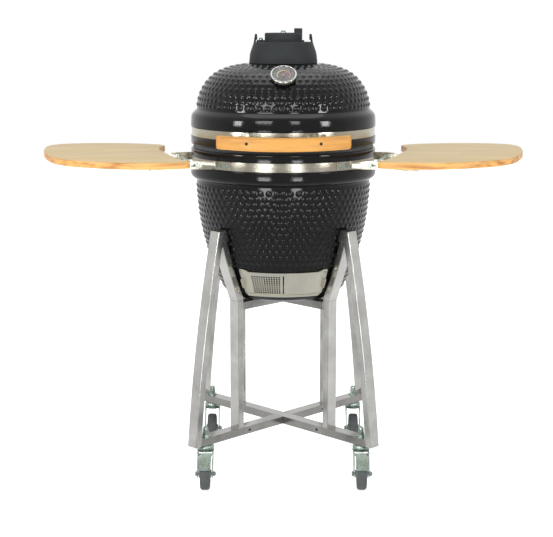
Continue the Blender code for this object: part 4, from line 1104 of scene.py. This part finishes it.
# White print, slightly uneven.
tick_ink = mottled("white_tick_print", ("#b9bab8", "#e6e6e2"), 800.0, Roughness=0.5, IOR=1.5)
ticks = bmesh.new()
for i in range(26):
    long = i % 5 == 0
    at = Matrix.Rotation(radians(ARC_START - 10 * i), 4, "Z")
    at = at @ Matrix.Translation((0.0245, 0, 0.0097))
    bmesh.ops.create_cube(ticks, size=1.0, matrix=upright_dial @ at
                          @ Matrix.Diagonal((0.0045 if long else 0.0025,
                                             0.0009 if long else 0.0005, 0.0003, 1.0)))
piece("dial_ticks", ticks, [tick_ink], "lid", "polished_stainless")

# Red lacquer with a light gloss.
pointer = mottled("red_pointer_lacquer", ("#b3221a", "#d6362a"), 300.0, Roughness=0.35, IOR=1.5)
refined("thermometer_needle", pointer, 0.0002, "needle", "needle_red")

# Flat glass, clear but for a faint wipe mark.
glass = mottled("flat_dial_glass", ("#f4f6f5", "#fdfefe"), 90.0, 4.0, Roughness=0.0, IOR=1.5,
                Transmission_Weight=1.0, Specular_IOR_Level=0.1)
lens = bmesh.new()
spun(lens, [(0.0, 0.0138), (0.0309, 0.0136), (0.0308, 0.0126), (0.0, 0.0126)], 64, dial)
piece("dial_glass", lens, [glass], "lid", "polished_stainless")


# ---------------------------------------------------------------- side shelves
# Each shelf is a bowed board of laminated bamboo, 18 mm thick, screwed to a stainless strap
# frame that hangs on a rod. The rod sits in slots in two brackets bolted to the base band.
SWEEP = radians(14)
TOP_Z = 0.9142
BOARD_T = 0.018
BOARD_EDGE = [
    (0.303, -0.168), (0.345, -0.213), (0.410, -0.252), (0.490, -0.277), (0.569, -0.281),
    (0.614, -0.262), (0.641, -0.215), (0.655, -0.130), (0.662, -0.040), (0.659, 0.060),
    (0.646, 0.135), (0.614, 0.194), (0.570, 0.240), (0.503, 0.290), (0.432, 0.318),
    (0.357, 0.322), (0.322, 0.309), (0.319, 0.280), (0.341, 0.235), (0.3435, 0.083),
    (0.344, -0.040), (0.338, -0.085), (0.322, -0.125)]
for word, side in (("left", -1), ("right", 1)):
    turn = pi + SWEEP if side < 0 else -SWEEP
    out = Matrix.Rotation(turn, 4, "Z")
    # Satin bamboo: a paler beige top, and a golden edge with darker end blocks.
    board_wood = bamboo("satin_bamboo_board_" + word, ("#c3a873", "#cfb886", "#9c7d46"),
                        ("#d9a45c", "#a0632c"), -turn, 0.024, 0.19)
    edge = [(x, -side * y) for x, y in BOARD_EDGE]
    for _ in range(3):
        edge = [(a[0] * u + b[0] * (1 - u), a[1] * u + b[1] * (1 - u))
                for a, b in zip(edge, edge[1:] + edge[:1]) for u in (0.75, 0.25)]
    board = bmesh.new()
    foot = board.faces.new([board.verts.new((x, y, TOP_Z - BOARD_T)) for x, y in edge])
    pushed(board, [foot], (0, 0, BOARD_T))
    bmesh.ops.recalc_face_normals(board, faces=board.faces)
    around = [e for e in board.edges if e.calc_face_angle(0.0) > radians(60)
              and abs(e.verts[0].co.z - e.verts[1].co.z) < 0.001]
    bmesh.ops.bevel(board, geom=around, offset=0.0035, segments=4, profile=0.5, affect="EDGES",
                    material=-1)
    board.transform(out)
    piece("shelf_board_bamboo_" + word, board, [board_wood], "shelf_" + word, "bamboo",
          "shelf_board_" + word)
    refined("shelf_frame_" + word, band_steel, 0.0005, "shelf_" + word, "polished_stainless")
    refined("shelf_rod_" + word, zinc, 0.0005, "rod_" + word, "zinc_plate")

    frame_screws = bmesh.new()
    for x, y in ((0.394, -0.190), (0.394, -0.070), (0.394, 0.070), (0.394, 0.250)):
        under = out @ Vector((x, -side * y, TOP_Z - BOARD_T - 0.0058))
        spun(frame_screws, rounded([(0.0, 0.0022, 0), (0.0030, 0.0018, 0.001), (0.0042, 0.0, 0),
                                    (0.0, 0.0, 0)]), 16, turn_on(under, (0, 0, -1)))
    piece("shelf_frame_screws_" + word, frame_screws, [zinc], "shelf_" + word, "zinc_plate")

    for end, y_sign in (("front", -side), ("rear", side)):
        refined("shelf_bracket_" + word + "_" + end, band_steel, 0.0006, "stand",
                "polished_stainless")
        heads = bmesh.new()
        seat_r = BAND_SEAT_R + 0.0023 + 0.0006 + 0.0028
        bend = asin(0.1305 / (seat_r - 0.0028))
        for back in (4.2, 9.2):
            angle = y_sign * (bend + radians(back))
            normal = out.to_3x3() @ Vector((cos(angle), sin(angle), 0.0))
            bolt_head(heads, normal * seat_r + Vector((0, 0, 0.8845)), normal, 0.0080, 0.0032)
        eased(piece("bracket_bolts_" + word + "_" + end, heads, [zinc], "stand", "zinc_plate"),
              0.0004)


# ---------------------------------------------------------------- size, and the end
low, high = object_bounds()
